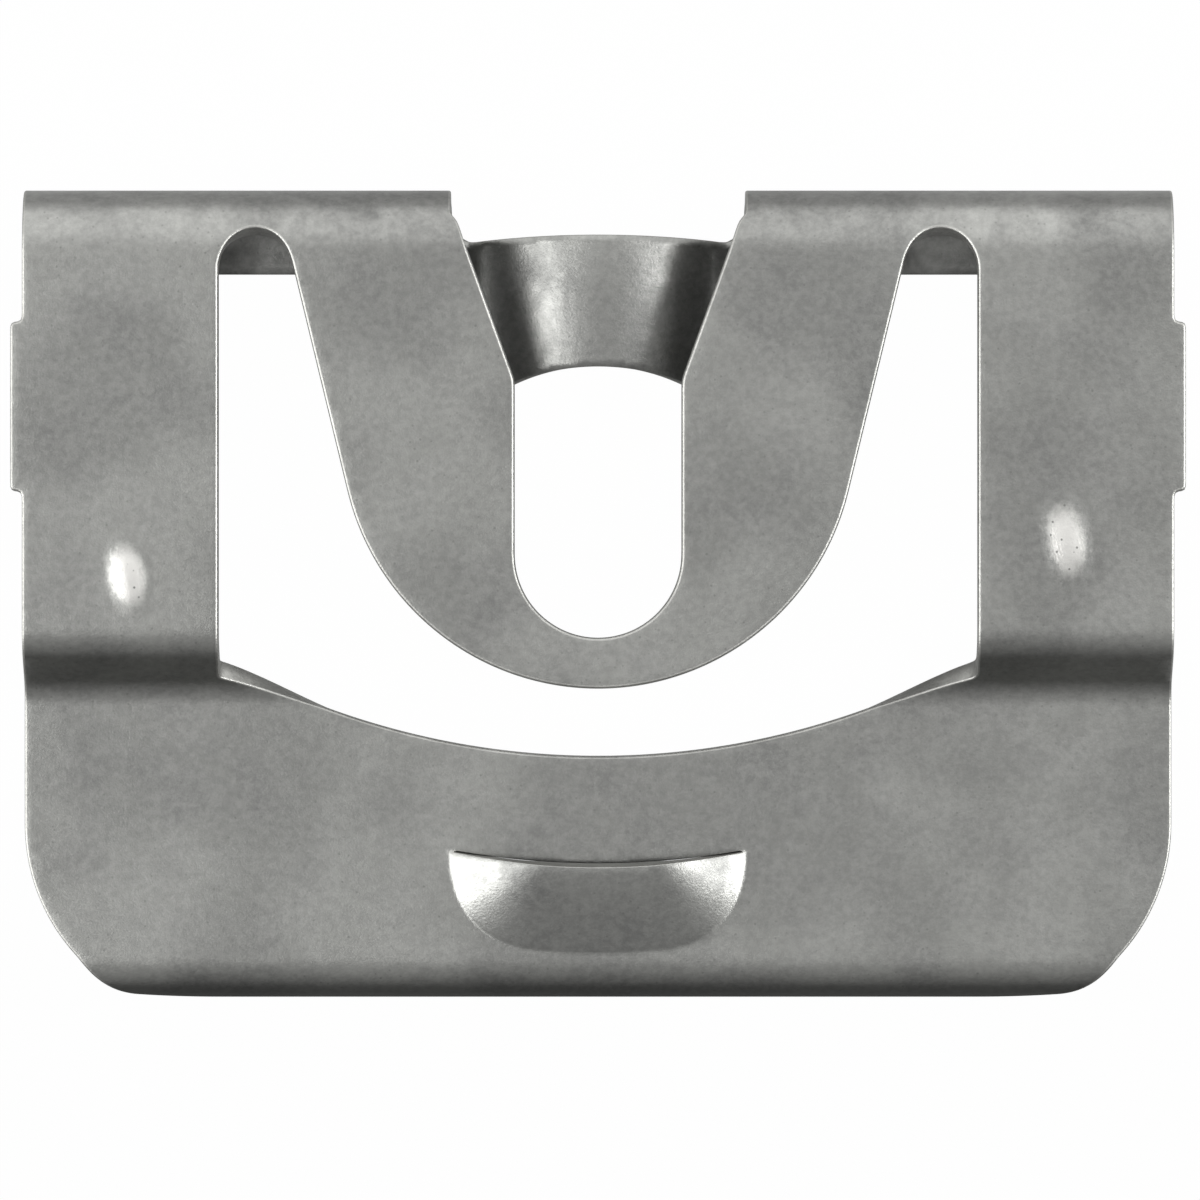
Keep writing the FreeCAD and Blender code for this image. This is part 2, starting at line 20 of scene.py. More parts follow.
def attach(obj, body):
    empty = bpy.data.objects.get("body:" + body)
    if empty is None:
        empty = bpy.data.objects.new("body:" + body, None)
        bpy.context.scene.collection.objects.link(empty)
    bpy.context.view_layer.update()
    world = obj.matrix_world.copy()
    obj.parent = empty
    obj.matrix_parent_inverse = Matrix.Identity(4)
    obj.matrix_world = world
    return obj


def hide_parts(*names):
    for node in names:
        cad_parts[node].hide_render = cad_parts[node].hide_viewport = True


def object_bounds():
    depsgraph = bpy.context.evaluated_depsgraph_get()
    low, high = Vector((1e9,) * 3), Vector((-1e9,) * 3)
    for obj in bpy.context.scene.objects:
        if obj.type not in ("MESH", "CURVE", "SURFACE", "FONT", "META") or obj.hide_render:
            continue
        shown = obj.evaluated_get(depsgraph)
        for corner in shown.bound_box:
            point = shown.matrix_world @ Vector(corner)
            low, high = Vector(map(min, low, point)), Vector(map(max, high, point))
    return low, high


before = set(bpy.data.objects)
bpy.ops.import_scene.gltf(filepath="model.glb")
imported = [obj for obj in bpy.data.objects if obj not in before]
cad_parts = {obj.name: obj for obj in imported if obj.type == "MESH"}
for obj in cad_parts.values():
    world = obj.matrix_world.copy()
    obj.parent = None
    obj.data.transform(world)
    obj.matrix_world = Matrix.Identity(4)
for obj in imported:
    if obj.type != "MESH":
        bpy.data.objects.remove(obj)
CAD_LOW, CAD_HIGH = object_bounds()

LOG = logging.getLogger("molding_clip")
MM = 0.001
NODE = "molding_clip"
WHITE = (1.0, 1.0, 1.0, 1.0)


class Turn(Enum):
    """Which way an arc of an outline turns on the way to its next corner."""

    LEFT = 1
    RIGHT = -1


class Run(Enum):
    """Which way along the blank a bend carries the sheet from where it starts."""

    UP = 1
    DOWN = -1


class Fold(Enum):
    """Which face a bend folds towards."""

    BACK = 1
    FRONT = -1


@dataclass(frozen=True)
class Corner:
    """A corner of an outline, with the arc that leaves it where radius is above zero."""

    x: float
    y: float
    radius: float = 0.0
    turn: Turn = Turn.LEFT


@dataclass(frozen=True)
class Bend:
    """One stroke of the bending tool, on the flat blank."""

    start: float
    radius: float
    angle: float
    run: Run
    fold: Fold

    @property
    def length(self) -> float:
        """Length of sheet that the bend takes up, along its middle."""
        return self.radius * self.angle

    @property
    def end(self) -> float:
        """Place on the blank where the bend ends."""
        return self.start + self.run.value * self.length


@dataclass(frozen=True)
class Dimple:
    """A soft bump pressed out of a leg, by its place on the blank."""

    x: float
    y: float
    half_width: float
    half_length: float
    tilt: float


@dataclass(frozen=True)
class ClipSizes:
    """Sizes of the sheet in millimetres and radians, as the press tool would have them."""

    top: float = CAD_HIGH.y / MM
    bottom: float = -CAD_LOW.y / MM
    back: float = CAD_LOW.z / MM
    front: float = 0.25
    body_width: float = 29.6
    tab_reach: float = CAD_HIGH.x / MM
    tab_low: float = 1.62
    tab_high: float = 5.98
    fold_outer: float = 1.6
    hem_level: float = 7.24
    joggle_start: float = 1.85
    joggle_down_radius: float = 0.78
    joggle_out_radius: float = 1.1
    joggle_angle: float = math.radians(60.0)
    curl_outer: float = 1.0
    curl_angle: float = math.radians(80.0)
    lip_length: float = 0.54
    corner_radius: float = 5.0
    slot_radius: float = 2.14
    slot_length: float = 4.48
    funnel_half: float = 3.6
    funnel_top: float = 8.6
    notch_half: float = 3.77
    notch_end: float = 8.07
    notch_corner: float = 0.6
    notch_arch: float = 28.0
    bridge_half: float = 5.4
    bridge_end: float = 3.6
    bridge_corner: float = 1.2
    bridge_root: float = 0.8
    bridge_arch: float = 5.5
    bridge_arch_rise: float = 1.25
    bow_half: float = 3.6
    bow_rise: float = 1.0
    bow_foot: float = 1.5
    window_half: float = 9.74
    window_top: float = 8.3
    window_bottom: float = 5.19
    window_arc: float = 20.3
    window_corners: tuple[float, float] = (0.1, 0.32)
    tongue_radius: float = 6.62
    tongue_centre: float = 3.17
    tongue_taper: float = math.radians(13.6)
    tongue_margin: float = 0.3
    louver_level: float = 7.63
    louver_half: float = 3.76
    louver_flat: float = 1.3
    louver_reach: float = 2.22
    louver_height: float = 0.8
    louver_blend: float = 0.06
    louver_crown: float = 0.26
    louver_lean: float = 0.12
    louver_blunt: float = 2.7
    lance_radius: float = 21.0
    lip_radius: float = 19.8
    dimple_height: float = 0.07
    dimples: tuple[Dimple, ...] = (Dimple(-12.06, -0.58, 0.6, 1.2, math.radians(-9)),
                                   Dimple(12.03, 0.36, 0.72, 1.5, math.radians(-9)))

    @property
    def thick(self) -> float:
        """Thickness of the sheet, whose middle lies at zero in the front plate."""
        return 2 * self.front

    @property
    def fold_y(self) -> float:
        """Height of the fold's axis."""
        return self.top - self.fold_outer

    @property
    def leg_z(self) -> float:
        """Depth of the middle of the leg behind the plate."""
        return self.back + self.front

    @property
    def lower_z(self) -> float:
        """Depth of the middle of the lower plate, which the curled lip carries."""
        rise = self.lip_length * math.sin(self.curl_angle) + self.front * math.cos(self.curl_angle)
        return self.back + rise + (self.curl_outer - self.front) * (1 - math.cos(self.curl_angle))

    @property
    def joggle_radii(self) -> float:
        """The joggle's two middle radii together."""
        return self.joggle_down_radius + self.joggle_out_radius

    @property
    def web_length(self) -> float:
        """Length of the straight web between the joggle's two bends."""
        bends = self.joggle_radii * (1 - math.cos(self.joggle_angle))
        return (-self.lower_z - bends) / math.sin(self.joggle_angle)

    @property
    def growth(self) -> float:
        """How much longer the blank is than its front view, over the joggle."""
        seen = self.web_length * math.cos(self.joggle_angle) + self.joggle_radii * math.sin(self.joggle_angle)
        return self.web_length + self.joggle_radii * self.joggle_angle - seen

    @property
    def fold(self) -> Bend:
        """The half turn over the top."""
        return Bend(self.fold_y, self.fold_outer - self.front, math.pi, Run.UP, Fold.BACK)

    @property
    def joggle_down(self) -> Bend:
        """The joggle's first bend, away from the viewer."""
        return Bend(-self.joggle_start, self.joggle_down_radius, self.joggle_angle, Run.DOWN, Fold.BACK)

    @property
    def joggle_out(self) -> Bend:
        """The joggle's second bend, back into the lower plate."""
        start = self.joggle_down.end - self.web_length
        return Bend(start, self.joggle_out_radius, self.joggle_angle, Run.DOWN, Fold.FRONT)

    @property
    def curl(self) -> Bend:
        """The rolled bottom edge.

        Returns:
            The bend, placed so that its lip ends at the clip's lowest level.
        """
        reach = self.curl_outer * math.sin(self.curl_angle) + self.lip_length * math.cos(self.curl_angle)
        start = reach - self.bottom - self.growth
        return Bend(start, self.curl_outer - self.front, self.curl_angle, Run.DOWN, Fold.BACK)

    @property
    def lip_end(self) -> float:
        """The blank's bottom edge."""
        return self.curl.end - self.lip_length

    @property
    def louver_line(self) -> float:
        """Place of the lance cut on the blank."""
        return -self.louver_level - self.growth

    @property
    def arch_radius(self) -> float:
        """Radius of the window's two upper ends.

        Returns:
            The radius that touches the window's side, its top and the tongue's flank.
        """
        across, down = math.cos(self.tongue_taper), math.sin(self.tongue_taper)
        room = self.window_half * across - (self.window_top - self.tongue_centre) * down - self.tongue_radius
        return room / (1 + across - down)

    @property
    def bridge_arch_half(self) -> float:
        """Half the span of the arch under the bridge."""
        return math.sqrt(self.bridge_arch_rise * (2 * self.bridge_arch - self.bridge_arch_rise))

    def on_fold(self, y: float) -> float:
        """Place on the blank of a point of the front view at or above the fold's start.

        Args:
            y: Height in the front view.

        Returns:
            The place along the blank.
        """
        if y <= self.fold_y:
            return y
        return self.fold_y + self.fold.radius * math.asin((y - self.fold_y) / self.fold_outer)

    def on_leg(self, y: float) -> float:
        """Place on the blank of a point of the leg behind the plate.

        Args:
            y: Height in the front view.

        Returns:
            The place along the blank.
        """
        return self.fold.end + self.fold_y - y


@dataclass(frozen=True)
class SheetPress:
    """How finely the blank is divided, and the shape that shearing gives to its rims."""

    sizes: ClipSizes
    step: float = 0.11
    grid: float = 0.26
    fine: float = 0.1
    bend_step: float = math.radians(6)
    roll_width: float = 0.06
    roll_depth: float = 0.045
    roll_steps: int = 4
    lean: float = 0.02
    burnish: float = 0.45
    burr: float = 0.02
    ease_passes: int = 2
    lance_rim: float = 0.4
    patch_border: float = 0.4
    clear_share: float = 0.3

    def outer(self) -> list[Corner]:
        """Outline of the blank.

        Returns:
            Its corners, from the lip's left end round by the right side.
        """
        s = self.sizes
        side = s.body_width / 2
        hem, end = s.on_leg(s.hem_level), s.on_leg(s.bridge_end)
        foot = s.bridge_half - s.bridge_corner
        return mirrored([
            Corner(side - s.corner_radius, s.lip_end, s.corner_radius), Corner(side, s.lip_end + s.corner_radius),
            Corner(side, s.tab_low), Corner(s.tab_reach, s.tab_low), Corner(s.tab_reach, s.tab_high),
            Corner(side, s.tab_high), Corner(side, hem),
            Corner(s.bridge_half + s.bridge_root, hem, s.bridge_root, Turn.RIGHT),
            Corner(s.bridge_half, hem + s.bridge_root),
            Corner(s.bridge_half, end - s.bridge_corner, s.bridge_corner), Corner(foot, end),
            Corner(s.bridge_arch_half, end, s.bridge_arch, Turn.RIGHT),
        ])

    def window(self) -> list[Corner]:
        """Outline of the window that frees the tongue.

        Returns:
            Its corners, from the left end's side down and round by the sill.
        """
        s = self.sizes
        across, down = math.cos(s.tongue_taper), math.sin(s.tongue_taper)
        arch, arch_x = s.arch_radius, s.window_half - s.arch_radius
        arch_y = s.window_top - arch
        touch = (arch_x - arch * across, arch_y + arch * down)
        flank = (s.tongue_radius * across, s.tongue_centre - s.tongue_radius * down)
        slope = math.asin(s.window_half / s.window_arc)
        sill = -s.window_bottom - s.growth + s.window_arc * (1 - math.cos(slope))
        cuts = [radius * math.tan((math.pi / 2 - slope) / 2) for radius in s.window_corners]
        low = [(s.window_half - cut * math.cos(slope), sill - cut * math.sin(slope)) for cut in cuts]
        left, right = s.window_corners
        return [
            Corner(-s.window_half, arch_y), Corner(-s.window_half, sill + cuts[0], left),
            Corner(-low[0][0], low[0][1], s.window_arc), Corner(*low[1], right),
            Corner(s.window_half, sill + cuts[1]), Corner(s.window_half, arch_y, arch),
            Corner(arch_x, s.window_top, arch), Corner(*touch), Corner(*flank, s.tongue_radius, Turn.RIGHT),
            Corner(0.0, s.tongue_centre - s.tongue_radius, s.tongue_radius, Turn.RIGHT),
            Corner(-flank[0], flank[1]), Corner(-touch[0], touch[1], arch),
            Corner(-arch_x, s.window_top, arch),
        ]

    def stud_way(self) -> list[Corner]:
        """Outline of the slot, its funnel and the notch over the fold, down to the bridge's upper edge.

        Returns:
            Its corners, from the slot's left side round by its half-round end.
        """
        s = self.sizes
        inner = s.notch_half - s.notch_corner
        return mirrored([
            Corner(s.slot_radius, 0.0), Corner(s.slot_radius, s.slot_length),
            Corner(s.funnel_half, s.on_fold(s.funnel_top)),
            Corner(s.notch_half, s.on_fold(s.funnel_top + s.notch_half - s.funnel_half)),
            Corner(s.notch_half, s.on_leg(s.notch_end + s.notch_corner), s.notch_corner),
            Corner(inner, s.on_leg(s.notch_end), s.notch_arch, Turn.RIGHT),
        ], s.slot_radius)

    def louver_cut(self) -> list[Corner]:
        """Outline of the lance cut: the plate's curved edge above and the drawn-back lip below."""
        half, line = self.sizes.louver_half, self.sizes.louver_line
        return [Corner(-half, line, self.sizes.lip_radius), Corner(half, line, self.sizes.lance_radius, Turn.RIGHT)]

    def loops(self) -> list[np.ndarray]:
        """Trace every outline with the sheet on its left, with its sharp corners eased.

        Returns:
            One array of points for each outline, the outer one first.
        """
        traced = []
        for index, corners in enumerate((self.outer(), self.window(), self.stud_way(), self.louver_cut())):
            points = trace(corners, self.step)
            if (area(points) > 0) != (index == 0):
                points = points[::-1]
            for _ in range(self.ease_passes):
                points = (np.roll(points, 1, 0) + 2 * points + np.roll(points, -1, 0)) / 4
            traced.append(points)
        return traced

    def rim(self) -> list[tuple[float, float]]:
        """Section of a sheared rim, from the front face round to the back one.

        Returns:
            Pairs of the distance inside the outline and the height over the sheet's middle.
        """
        half = self.sizes.front
        quarter = [math.pi / 2 * index / self.roll_steps for index in range(self.roll_steps + 1)]
        section = [(self.lean + self.roll_width * (1 - math.sin(turn)),
                    half - self.roll_depth * (1 - math.cos(turn))) for turn in quarter]
        land = half - self.roll_depth - self.burnish * (self.sizes.thick - self.roll_depth)
        land_lean, burr_start = self.lean * 0.8, self.burr * 1.5
        return [*section, (land_lean, land), (0.0, burr_start - half), (self.burr, -half)]

    def levels(self) -> np.ndarray:
        """Rows of the grid along the blank, close together in the bends.

        Returns:
            The rows' places, from the lip upwards.
        """
        s = self.sizes
        bends = {min(bend.start, bend.end): bend for bend in (s.curl, s.joggle_out, s.joggle_down, s.fold)}
        ends = [max(bend.start, bend.end) for bend in bends.values()]
        marks = sorted([s.lip_end, *bends, *ends, s.on_leg(s.bridge_end)])
        rows = []
        for low, high in zip(marks, marks[1:]):
            count = bends[low].angle / self.bend_step if low in bends else (high - low) / self.grid
            rows.append(np.linspace(low, high, max(2, math.ceil(count)), endpoint=False))
        return np.concatenate(rows)

    def grid_points(self) -> np.ndarray:
        """Points inside the blank: an even grid, with finer patches where the sheet is pressed or bowed.

        Returns:
            The points, some of which may lie in a hole.
        """
        s = self.sizes
        columns = np.arange(-s.tab_reach, s.tab_reach, self.grid)
        points = mesh_points(columns, self.levels())
        border, strap = self.patch_border, s.notch_end - s.bridge_end
        patches = [(0.0, s.louver_line - s.louver_reach / 2, s.louver_half + border, s.louver_reach / 2 + border),
                   (0.0, s.on_leg(s.bridge_end + strap / 2), s.notch_half + border, strap / 2)]
        patches += [(dimple.x, dimple.y, dimple.half_width + border, dimple.half_length + border)
                    for dimple in s.dimples]
        for x, y, half_x, half_y in patches:
            outside = (abs(points[:, 0] - x) > half_x) | (abs(points[:, 1] - y) > half_y)
            patch = mesh_points(np.arange(x - half_x, x + half_x, self.fine),
                                np.arange(y - half_y, y + half_y, self.fine))
            points = np.vstack((points[outside], patch))
        return points

    def build(self, name: str) -> bpy.types.Object:
        """Divide the blank into triangles on both faces and close them with the sheared rims.

        Args:
            name: Name of the new object.

        Returns:
            The flat blank, a closed mesh in metres with its rim's attributes.
        """
        loops = self.loops()
        section = self.rim()
        ways = [outward(points, max(inset for inset, _ in section)) for points in loops]
        ways[-1] *= self.lance_rim
        count = sum(len(points) for points in loops)
        rings = [np.vstack([points - way * inset for points, way in zip(loops, ways)]) for inset, _ in section]
        inner = inside(self.grid_points(), split(rings[0], loops), self.grid * self.clear_share)
        skin = triangulate(rings[0], inner, [len(points) for points in loops])
        heights = [np.full(len(ring), height) for ring, (_, height) in zip(rings, section)]
        half = self.sizes.front
        flat = np.vstack([*rings, inner, inner])
        depth = np.concatenate([*heights, np.full(len(inner), half), np.full(len(inner), -half)])
        verts = np.column_stack((flat, depth)) * MM
        last = (len(section) - 1) * count
        front_map = np.concatenate((np.arange(count), len(section) * count + np.arange(len(inner))))
        back_map = np.concatenate((last + np.arange(count), front_map[count:] + len(inner)))
        faces = front_map[skin].tolist() + back_map[skin[:, ::-1]].tolist()
        skin_faces = len(faces)
        here = np.arange(count)
        there = np.concatenate([start + np.roll(np.arange(size), -1) for start, size in spans(loops)])
        for ring in range(len(section) - 1):
            low, high = ring * count, (ring + 1) * count
            faces += np.column_stack((low + here, high + here, high + there, low + there)).tolist()
        mesh = bpy.data.meshes.new(name)
        mesh.from_pydata(verts.tolist(), [], faces)
        along = np.concatenate([np.arange(len(points)) * self.step for points in loops])
        store(mesh, "along", "FLOAT", "POINT", np.concatenate((np.tile(along, len(section)), inner[:, 0] * 0,
                                                               inner[:, 0] * 0)))
        store(mesh, "through", "FLOAT", "POINT", 0.5 - depth / self.sizes.thick)
        store(mesh, "cut_face", "BOOLEAN", "FACE", np.arange(len(faces)) >= skin_faces)
        mesh.shade_smooth()
        piece = bpy.data.objects.new(name, mesh)
        bpy.context.scene.collection.objects.link(piece)
        LOG.info("blank: %d faces, %d of them on the rims", len(faces), len(faces) - skin_faces)
        return piece


def mirrored(right: list[Corner], base: float = 0.0) -> list[Corner]:
    """Close an outline that is the same on both sides of the middle.

    Args:
        right: Its corners on the right, from the lowest up.
        base: Radius of the arc that joins the two lowest corners, or zero for a straight edge.

    Returns:
        All its corners, from the lowest one on the left.
    """
    left = [Corner(-there.x, there.y, here.radius, here.turn) for here, there in zip(right, right[1:])]
    return [Corner(-right[0].x, right[0].y, base), *right, *reversed(left)]


def trace(corners: Sequence[Corner], step: float) -> np.ndarray:
    """Follow an outline's straight edges and arcs.

    Args:
        corners: The closed outline's corners, in order. No arc is longer than a half circle.
        step: Longest distance between two points.

    Returns:
        The points, one row each.
    """
    runs = []
    for here, there in zip(corners, [*corners[1:], corners[0]]):
        start = np.array([here.x, here.y])
        chord = np.array([there.x, there.y]) - start
        length = float(np.hypot(*chord))
        if not here.radius:
            count = max(1, math.ceil(length / step))
            runs.append(start + chord * np.arange(count)[:, None] / count)
            continue
        left = np.array([-chord[1], chord[0]]) / length * here.turn.value
        centre = start + chord / 2 + left * math.sqrt(max(here.radius ** 2 - length ** 2 / 4, 0.0))
        sweep = 2 * math.asin(min(length / 2 / here.radius, 1.0)) * here.turn.value
        count = max(2, math.ceil(abs(sweep) * here.radius / step))
        angles = math.atan2(start[1] - centre[1], start[0] - centre[0]) + sweep * np.arange(count) / count
        runs.append(centre + here.radius * np.column_stack((np.cos(angles), np.sin(angles))))
    return np.vstack(runs)


def area(points: np.ndarray) -> float:
    """Area inside a closed outline, above zero if it runs anticlockwise."""
    ahead = np.roll(points, -1, 0)
    return float((points[:, 0] * ahead[:, 1] - points[:, 1] * ahead[:, 0]).sum() / 2)


def outward(points: np.ndarray, inset: float) -> np.ndarray:
    """Directions out of the sheet at an outline's points, lengthened at corners so that an inset stays even.

    Args:
        points: A closed outline with the sheet on its left.
        inset: The deepest inset, which is made shallower round corners that it would fold over.

    Returns:
        One direction for each point.
    """
    longest, least, shrink, own_share = 1.5, 0.2, 0.85, 6
    edges = np.roll(points, -1, 0) - points
    ahead = edges / np.hypot(edges[:, 0], edges[:, 1])[:, None]
    leaving = np.column_stack((ahead[:, 1], -ahead[:, 0]))
    ways = leaving + np.roll(leaving, 1, 0)
    ways /= np.maximum(np.hypot(ways[:, 0], ways[:, 1]), 1e-6)[:, None]
    ways /= np.maximum((ways * leaving).sum(1), 1 / longest)[:, None]
    while True:
        ring = points - ways * inset
        left = ((np.roll(ring, -1, 0) - ring) * edges).sum(1) / (edges ** 2).sum(1)
        folded = left < least
        if not folded.any():
            return ways
        ways[folded | np.roll(folded, 1)] *= shrink
        ways = (np.roll(ways, 1, 0) + own_share * ways + np.roll(ways, -1, 0)) / (own_share + 2)


def mesh_points(columns: np.ndarray, rows: np.ndarray) -> np.ndarray:
    """Every crossing of the columns and the rows."""
    across, up = np.meshgrid(columns, rows)
    return np.column_stack((across.ravel(), up.ravel()))


def spans(loops: Sequence[np.ndarray]) -> list[tuple[int, int]]:
    """Where each outline starts in the joined list of points, and how many it has."""
    sizes = [len(points) for points in loops]
    return [(sum(sizes[:index]), size) for index, size in enumerate(sizes)]


def split(ring: np.ndarray, loops: Sequence[np.ndarray]) -> list[np.ndarray]:
    """Cut a joined list of points into its outlines again."""
    return [ring[start:start + size] for start, size in spans(loops)]


def is_sheet(points: np.ndarray, loops: Sequence[np.ndarray]) -> np.ndarray:
    """Tell which points lie on the sheet, inside the outer outline and in none of the holes.

    Args:
        points: The points to tell apart.
        loops: The closed outlines.

    Returns:
        True for each point on the sheet.
    """
    crossed = np.zeros(len(points), bool)
    for loop in loops:
        for (x0, y0), (x1, y1) in zip(loop, np.roll(loop, -1, 0)):
            if y0 == y1:
                continue
            between = (points[:, 1] >= min(y0, y1)) & (points[:, 1] < max(y0, y1))
            crossed ^= between & (points[:, 0] < x0 + (points[:, 1] - y0) * (x1 - x0) / (y1 - y0))
    return crossed


def inside(points: np.ndarray, loops: Sequence[np.ndarray], gap: float) -> np.ndarray:
    """Keep the points that lie on the sheet and clear of its outlines.

    Args:
        points: The points of the grid.
        loops: The outlines.
        gap: Least distance from an outline's point.

    Returns:
        The points that are kept.
    """
    kept = points[is_sheet(points, loops)]
    border = np.vstack(loops)
    clear = np.ones(len(kept), bool)
    batch = 500
    for start in range(0, len(kept), batch):
        block = kept[start:start + batch]
        away = np.hypot(block[:, None, 0] - border[None, :, 0], block[:, None, 1] - border[None, :, 1])
        clear[start:start + batch] = away.min(1) > gap
    return kept[clear]


def triangulate(border: np.ndarray, inner: np.ndarray, sizes: Sequence[int]) -> np.ndarray:
    """Divide the sheet into triangles that follow its outlines.

    Args:
        border: The outlines' points, joined.
        inner: The points between them.
        sizes: Number of points in each outline.

    Returns:
        Three indices for each triangle, anticlockwise, into border and then inner.
    """
    edges, loops, same_point = [], [], 1e-7
    for index, size in enumerate(sizes):
        start = sum(sizes[:index])
        edges += [(start + here, start + (here + 1) % size) for here in range(size)]
        loops.append(border[start:start + size])
    points = [Vector(point) for point in np.vstack((border, inner))]
    made, _, faces, origins, _, _ = delaunay_2d_cdt(points, edges, [], 0, same_point)
    if any(not origin for origin in origins):
        raise RuntimeError("two outlines of the blank cross")
    names = np.array([origin[0] for origin in origins])
    places = np.array(made)
    corners = np.array([face[:] for face in faces])
    corners = corners[is_sheet(places[corners].mean(1), loops)]
    one, two, three = (places[corners[:, index]] for index in range(3))
    turn = ((two[:, 0] - one[:, 0]) * (three[:, 1] - one[:, 1])
            - (two[:, 1] - one[:, 1]) * (three[:, 0] - one[:, 0]))
    corners[turn < 0] = corners[turn < 0][:, ::-1]
    return names[corners]


def store(mesh: bpy.types.Mesh, name: str, kind: str, domain: str, values: np.ndarray) -> None:
    """Write an attribute onto a mesh, one value for each of its elements."""
    mesh.attributes.new(name, kind, domain).data.foreach_set("value", values)


class Signal:
    """What a socket gives in a node tree, with the signs of arithmetic, so that a formula reads as one."""

    def __init__(self, wire: "Wiring", socket: bpy.types.NodeSocket) -> None:
        """Keep the socket and the wiring that it belongs to."""
        self.wire = wire
        self.socket = socket

    def __add__(self, other: object) -> "Signal":
        """Add another."""
        return self.wire.math("ADD", self, other)

    def __sub__(self, other: object) -> "Signal":
        """Take another away."""
        return self.wire.math("SUBTRACT", self, other)

    def __rsub__(self, other: object) -> "Signal":
        """Take this from another."""
        return self.wire.math("SUBTRACT", other, self)

    def __mul__(self, other: object) -> "Signal":
        """Multiply by another."""
        return self.wire.math("MULTIPLY", self, other)

    def __truediv__(self, other: object) -> "Signal":
        """Divide by another."""
        return self.wire.math("DIVIDE", self, other)

    def __rtruediv__(self, other: object) -> "Signal":
        """Divide another by this."""
        return self.wire.math("DIVIDE", other, self)

    __radd__ = __add__
    __rmul__ = __mul__


class Wiring:
    """Adds nodes to a tree and links them."""

    def __init__(self, tree: bpy.types.NodeTree) -> None:
        """Start wiring a tree."""
        self.tree = tree

    def add(self, kind: str, inputs: dict | None = None, **settings: object) -> bpy.types.Node:
        """Add a node.

        Args:
            kind: The node's type.
            inputs: Values or signals for its inputs, by name or index.
            settings: Properties to set before its inputs.

        Returns:
            The new node.
        """
        node = self.tree.nodes.new(kind)
        for name, value in settings.items():
            setattr(node, name, value)
        for name, value in (inputs or {}).items():
            self.feed(node.inputs[name], value)
        return node

    def take(self, kind: str, inputs: dict | None = None, output: int | str = 0, **settings: object) -> Signal:
        """Add a node and take one of its outputs."""
        return Signal(self, self.add(kind, inputs, **settings).outputs[output])

    def use(self, group: bpy.types.NodeTree, inputs: dict[str, object]) -> dict[str, Signal]:
        """Place a group in the tree.

        Args:
            group: The group.
            inputs: Values or signals for its inputs, by name.

        Returns:
            Its outputs, by name.
        """
        node = self.add(group.bl_idname.replace("Tree", "Group"), inputs, node_tree=group)
        return {socket.name: Signal(self, socket) for socket in node.outputs}

    def feed(self, socket: bpy.types.NodeSocket, value: object) -> None:
        """Link a signal to a socket, or set the socket's value.

        Args:
            socket: The input to feed.
            value: A signal or a plain value.
        """
        if isinstance(value, Signal):
            self.tree.links.new(value.socket, socket)
        else:
            socket.default_value = value

    def math(self, operation: str, *values: object) -> Signal:
        """Work out one step of arithmetic."""
        return self.take("ShaderNodeMath", dict(enumerate(values)), operation=operation)

    def positive(self, value: object) -> Signal:
        """The value, or zero where it is below zero."""
        return self.math("MAXIMUM", value, 0.0)

    def leg(self, slant: object, other: object) -> Signal:
        """Third side of a right-angled triangle, from its longest side and another."""
        return self.math("SQRT", self.positive(slant * slant - other * other))

    def ramp(self, value: object, low: float, high: float, bottom: float = 0.0, top: float = 1.0) -> Signal:
        """Blend smoothly from bottom to top as the value goes from low to high."""
        ends = {"Value": value, "From Min": low, "From Max": high, "To Min": bottom, "To Max": top}
        return self.take("ShaderNodeMapRange", ends, interpolation_type="SMOOTHSTEP")

    def parts(self, vector: object) -> list[Signal]:
        """The three components of a vector."""
        return [Signal(self, part) for part in self.add("ShaderNodeSeparateXYZ", {0: vector}).outputs]

    def vector(self, x: object, y: object, z: object) -> Signal:
        """A vector of three components."""
        return self.take("ShaderNodeCombineXYZ", {0: x, 1: y, 2: z})

    def noise(self, place: object, scale: object, detail: float, **inputs: float) -> Signal:
        """Noise around one half at a place."""
        return self.take("ShaderNodeTexNoise", {"Vector": place, "Scale": scale, "Detail": detail, **inputs})

    def blend(self, kind: str, share: object, first: object, second: object) -> Signal:
        """Go from one vector or colour to another.

        Args:
            kind: VECTOR or RGBA.
            share: Zero for the first and one for the second.
            first: The first vector or colour.
            second: The second one.

        Returns:
            The blend.
        """
        node = self.add("ShaderNodeMix", {"Factor": share}, data_type=kind)
        ends = [socket for socket in node.inputs if socket.type == kind and socket.name in "AB"]
        for socket, end in zip(ends, (first, second)):
            self.feed(socket, end)
        return Signal(self, next(socket for socket in node.outputs if socket.type == kind))


class GroupWiring(Wiring):
    """Wires a node group that has named sockets."""

    def __init__(self, name: str, kind: str) -> None:
        """Start a group.

        Args:
            name: The group's name.
            kind: Its type, for geometry or for shaders.
        """
        super().__init__(bpy.data.node_groups.new(name, kind))
        self.entry = self.tree.nodes.new("NodeGroupInput")
        self.given: dict[str, Signal] = {}

    def ask(self, *names: str, sort: str = "Float") -> list[Signal]:
        """Give the group more inputs.

        Args:
            names: Their names.
            sort: The type of their sockets.

        Returns:
            What they bring in. It is also kept in given, by name.
        """
        for name in names:
            self.tree.interface.new_socket(name, in_out="INPUT", socket_type=f"NodeSocket{sort}")
            self.given[name] = Signal(self, self.entry.outputs[name])
        return [self.given[name] for name in names]

    def close(self, results: dict[str, Signal]) -> bpy.types.NodeTree:
        """Give the group its outputs.

        Args:
            results: What they bring out, by name.

        Returns:
            The group.
        """
        for name, result in results.items():
            self.tree.interface.new_socket(name, in_out="OUTPUT", socket_type=result.socket.bl_idname)
        self.add("NodeGroupOutput", results)
        return self.tree


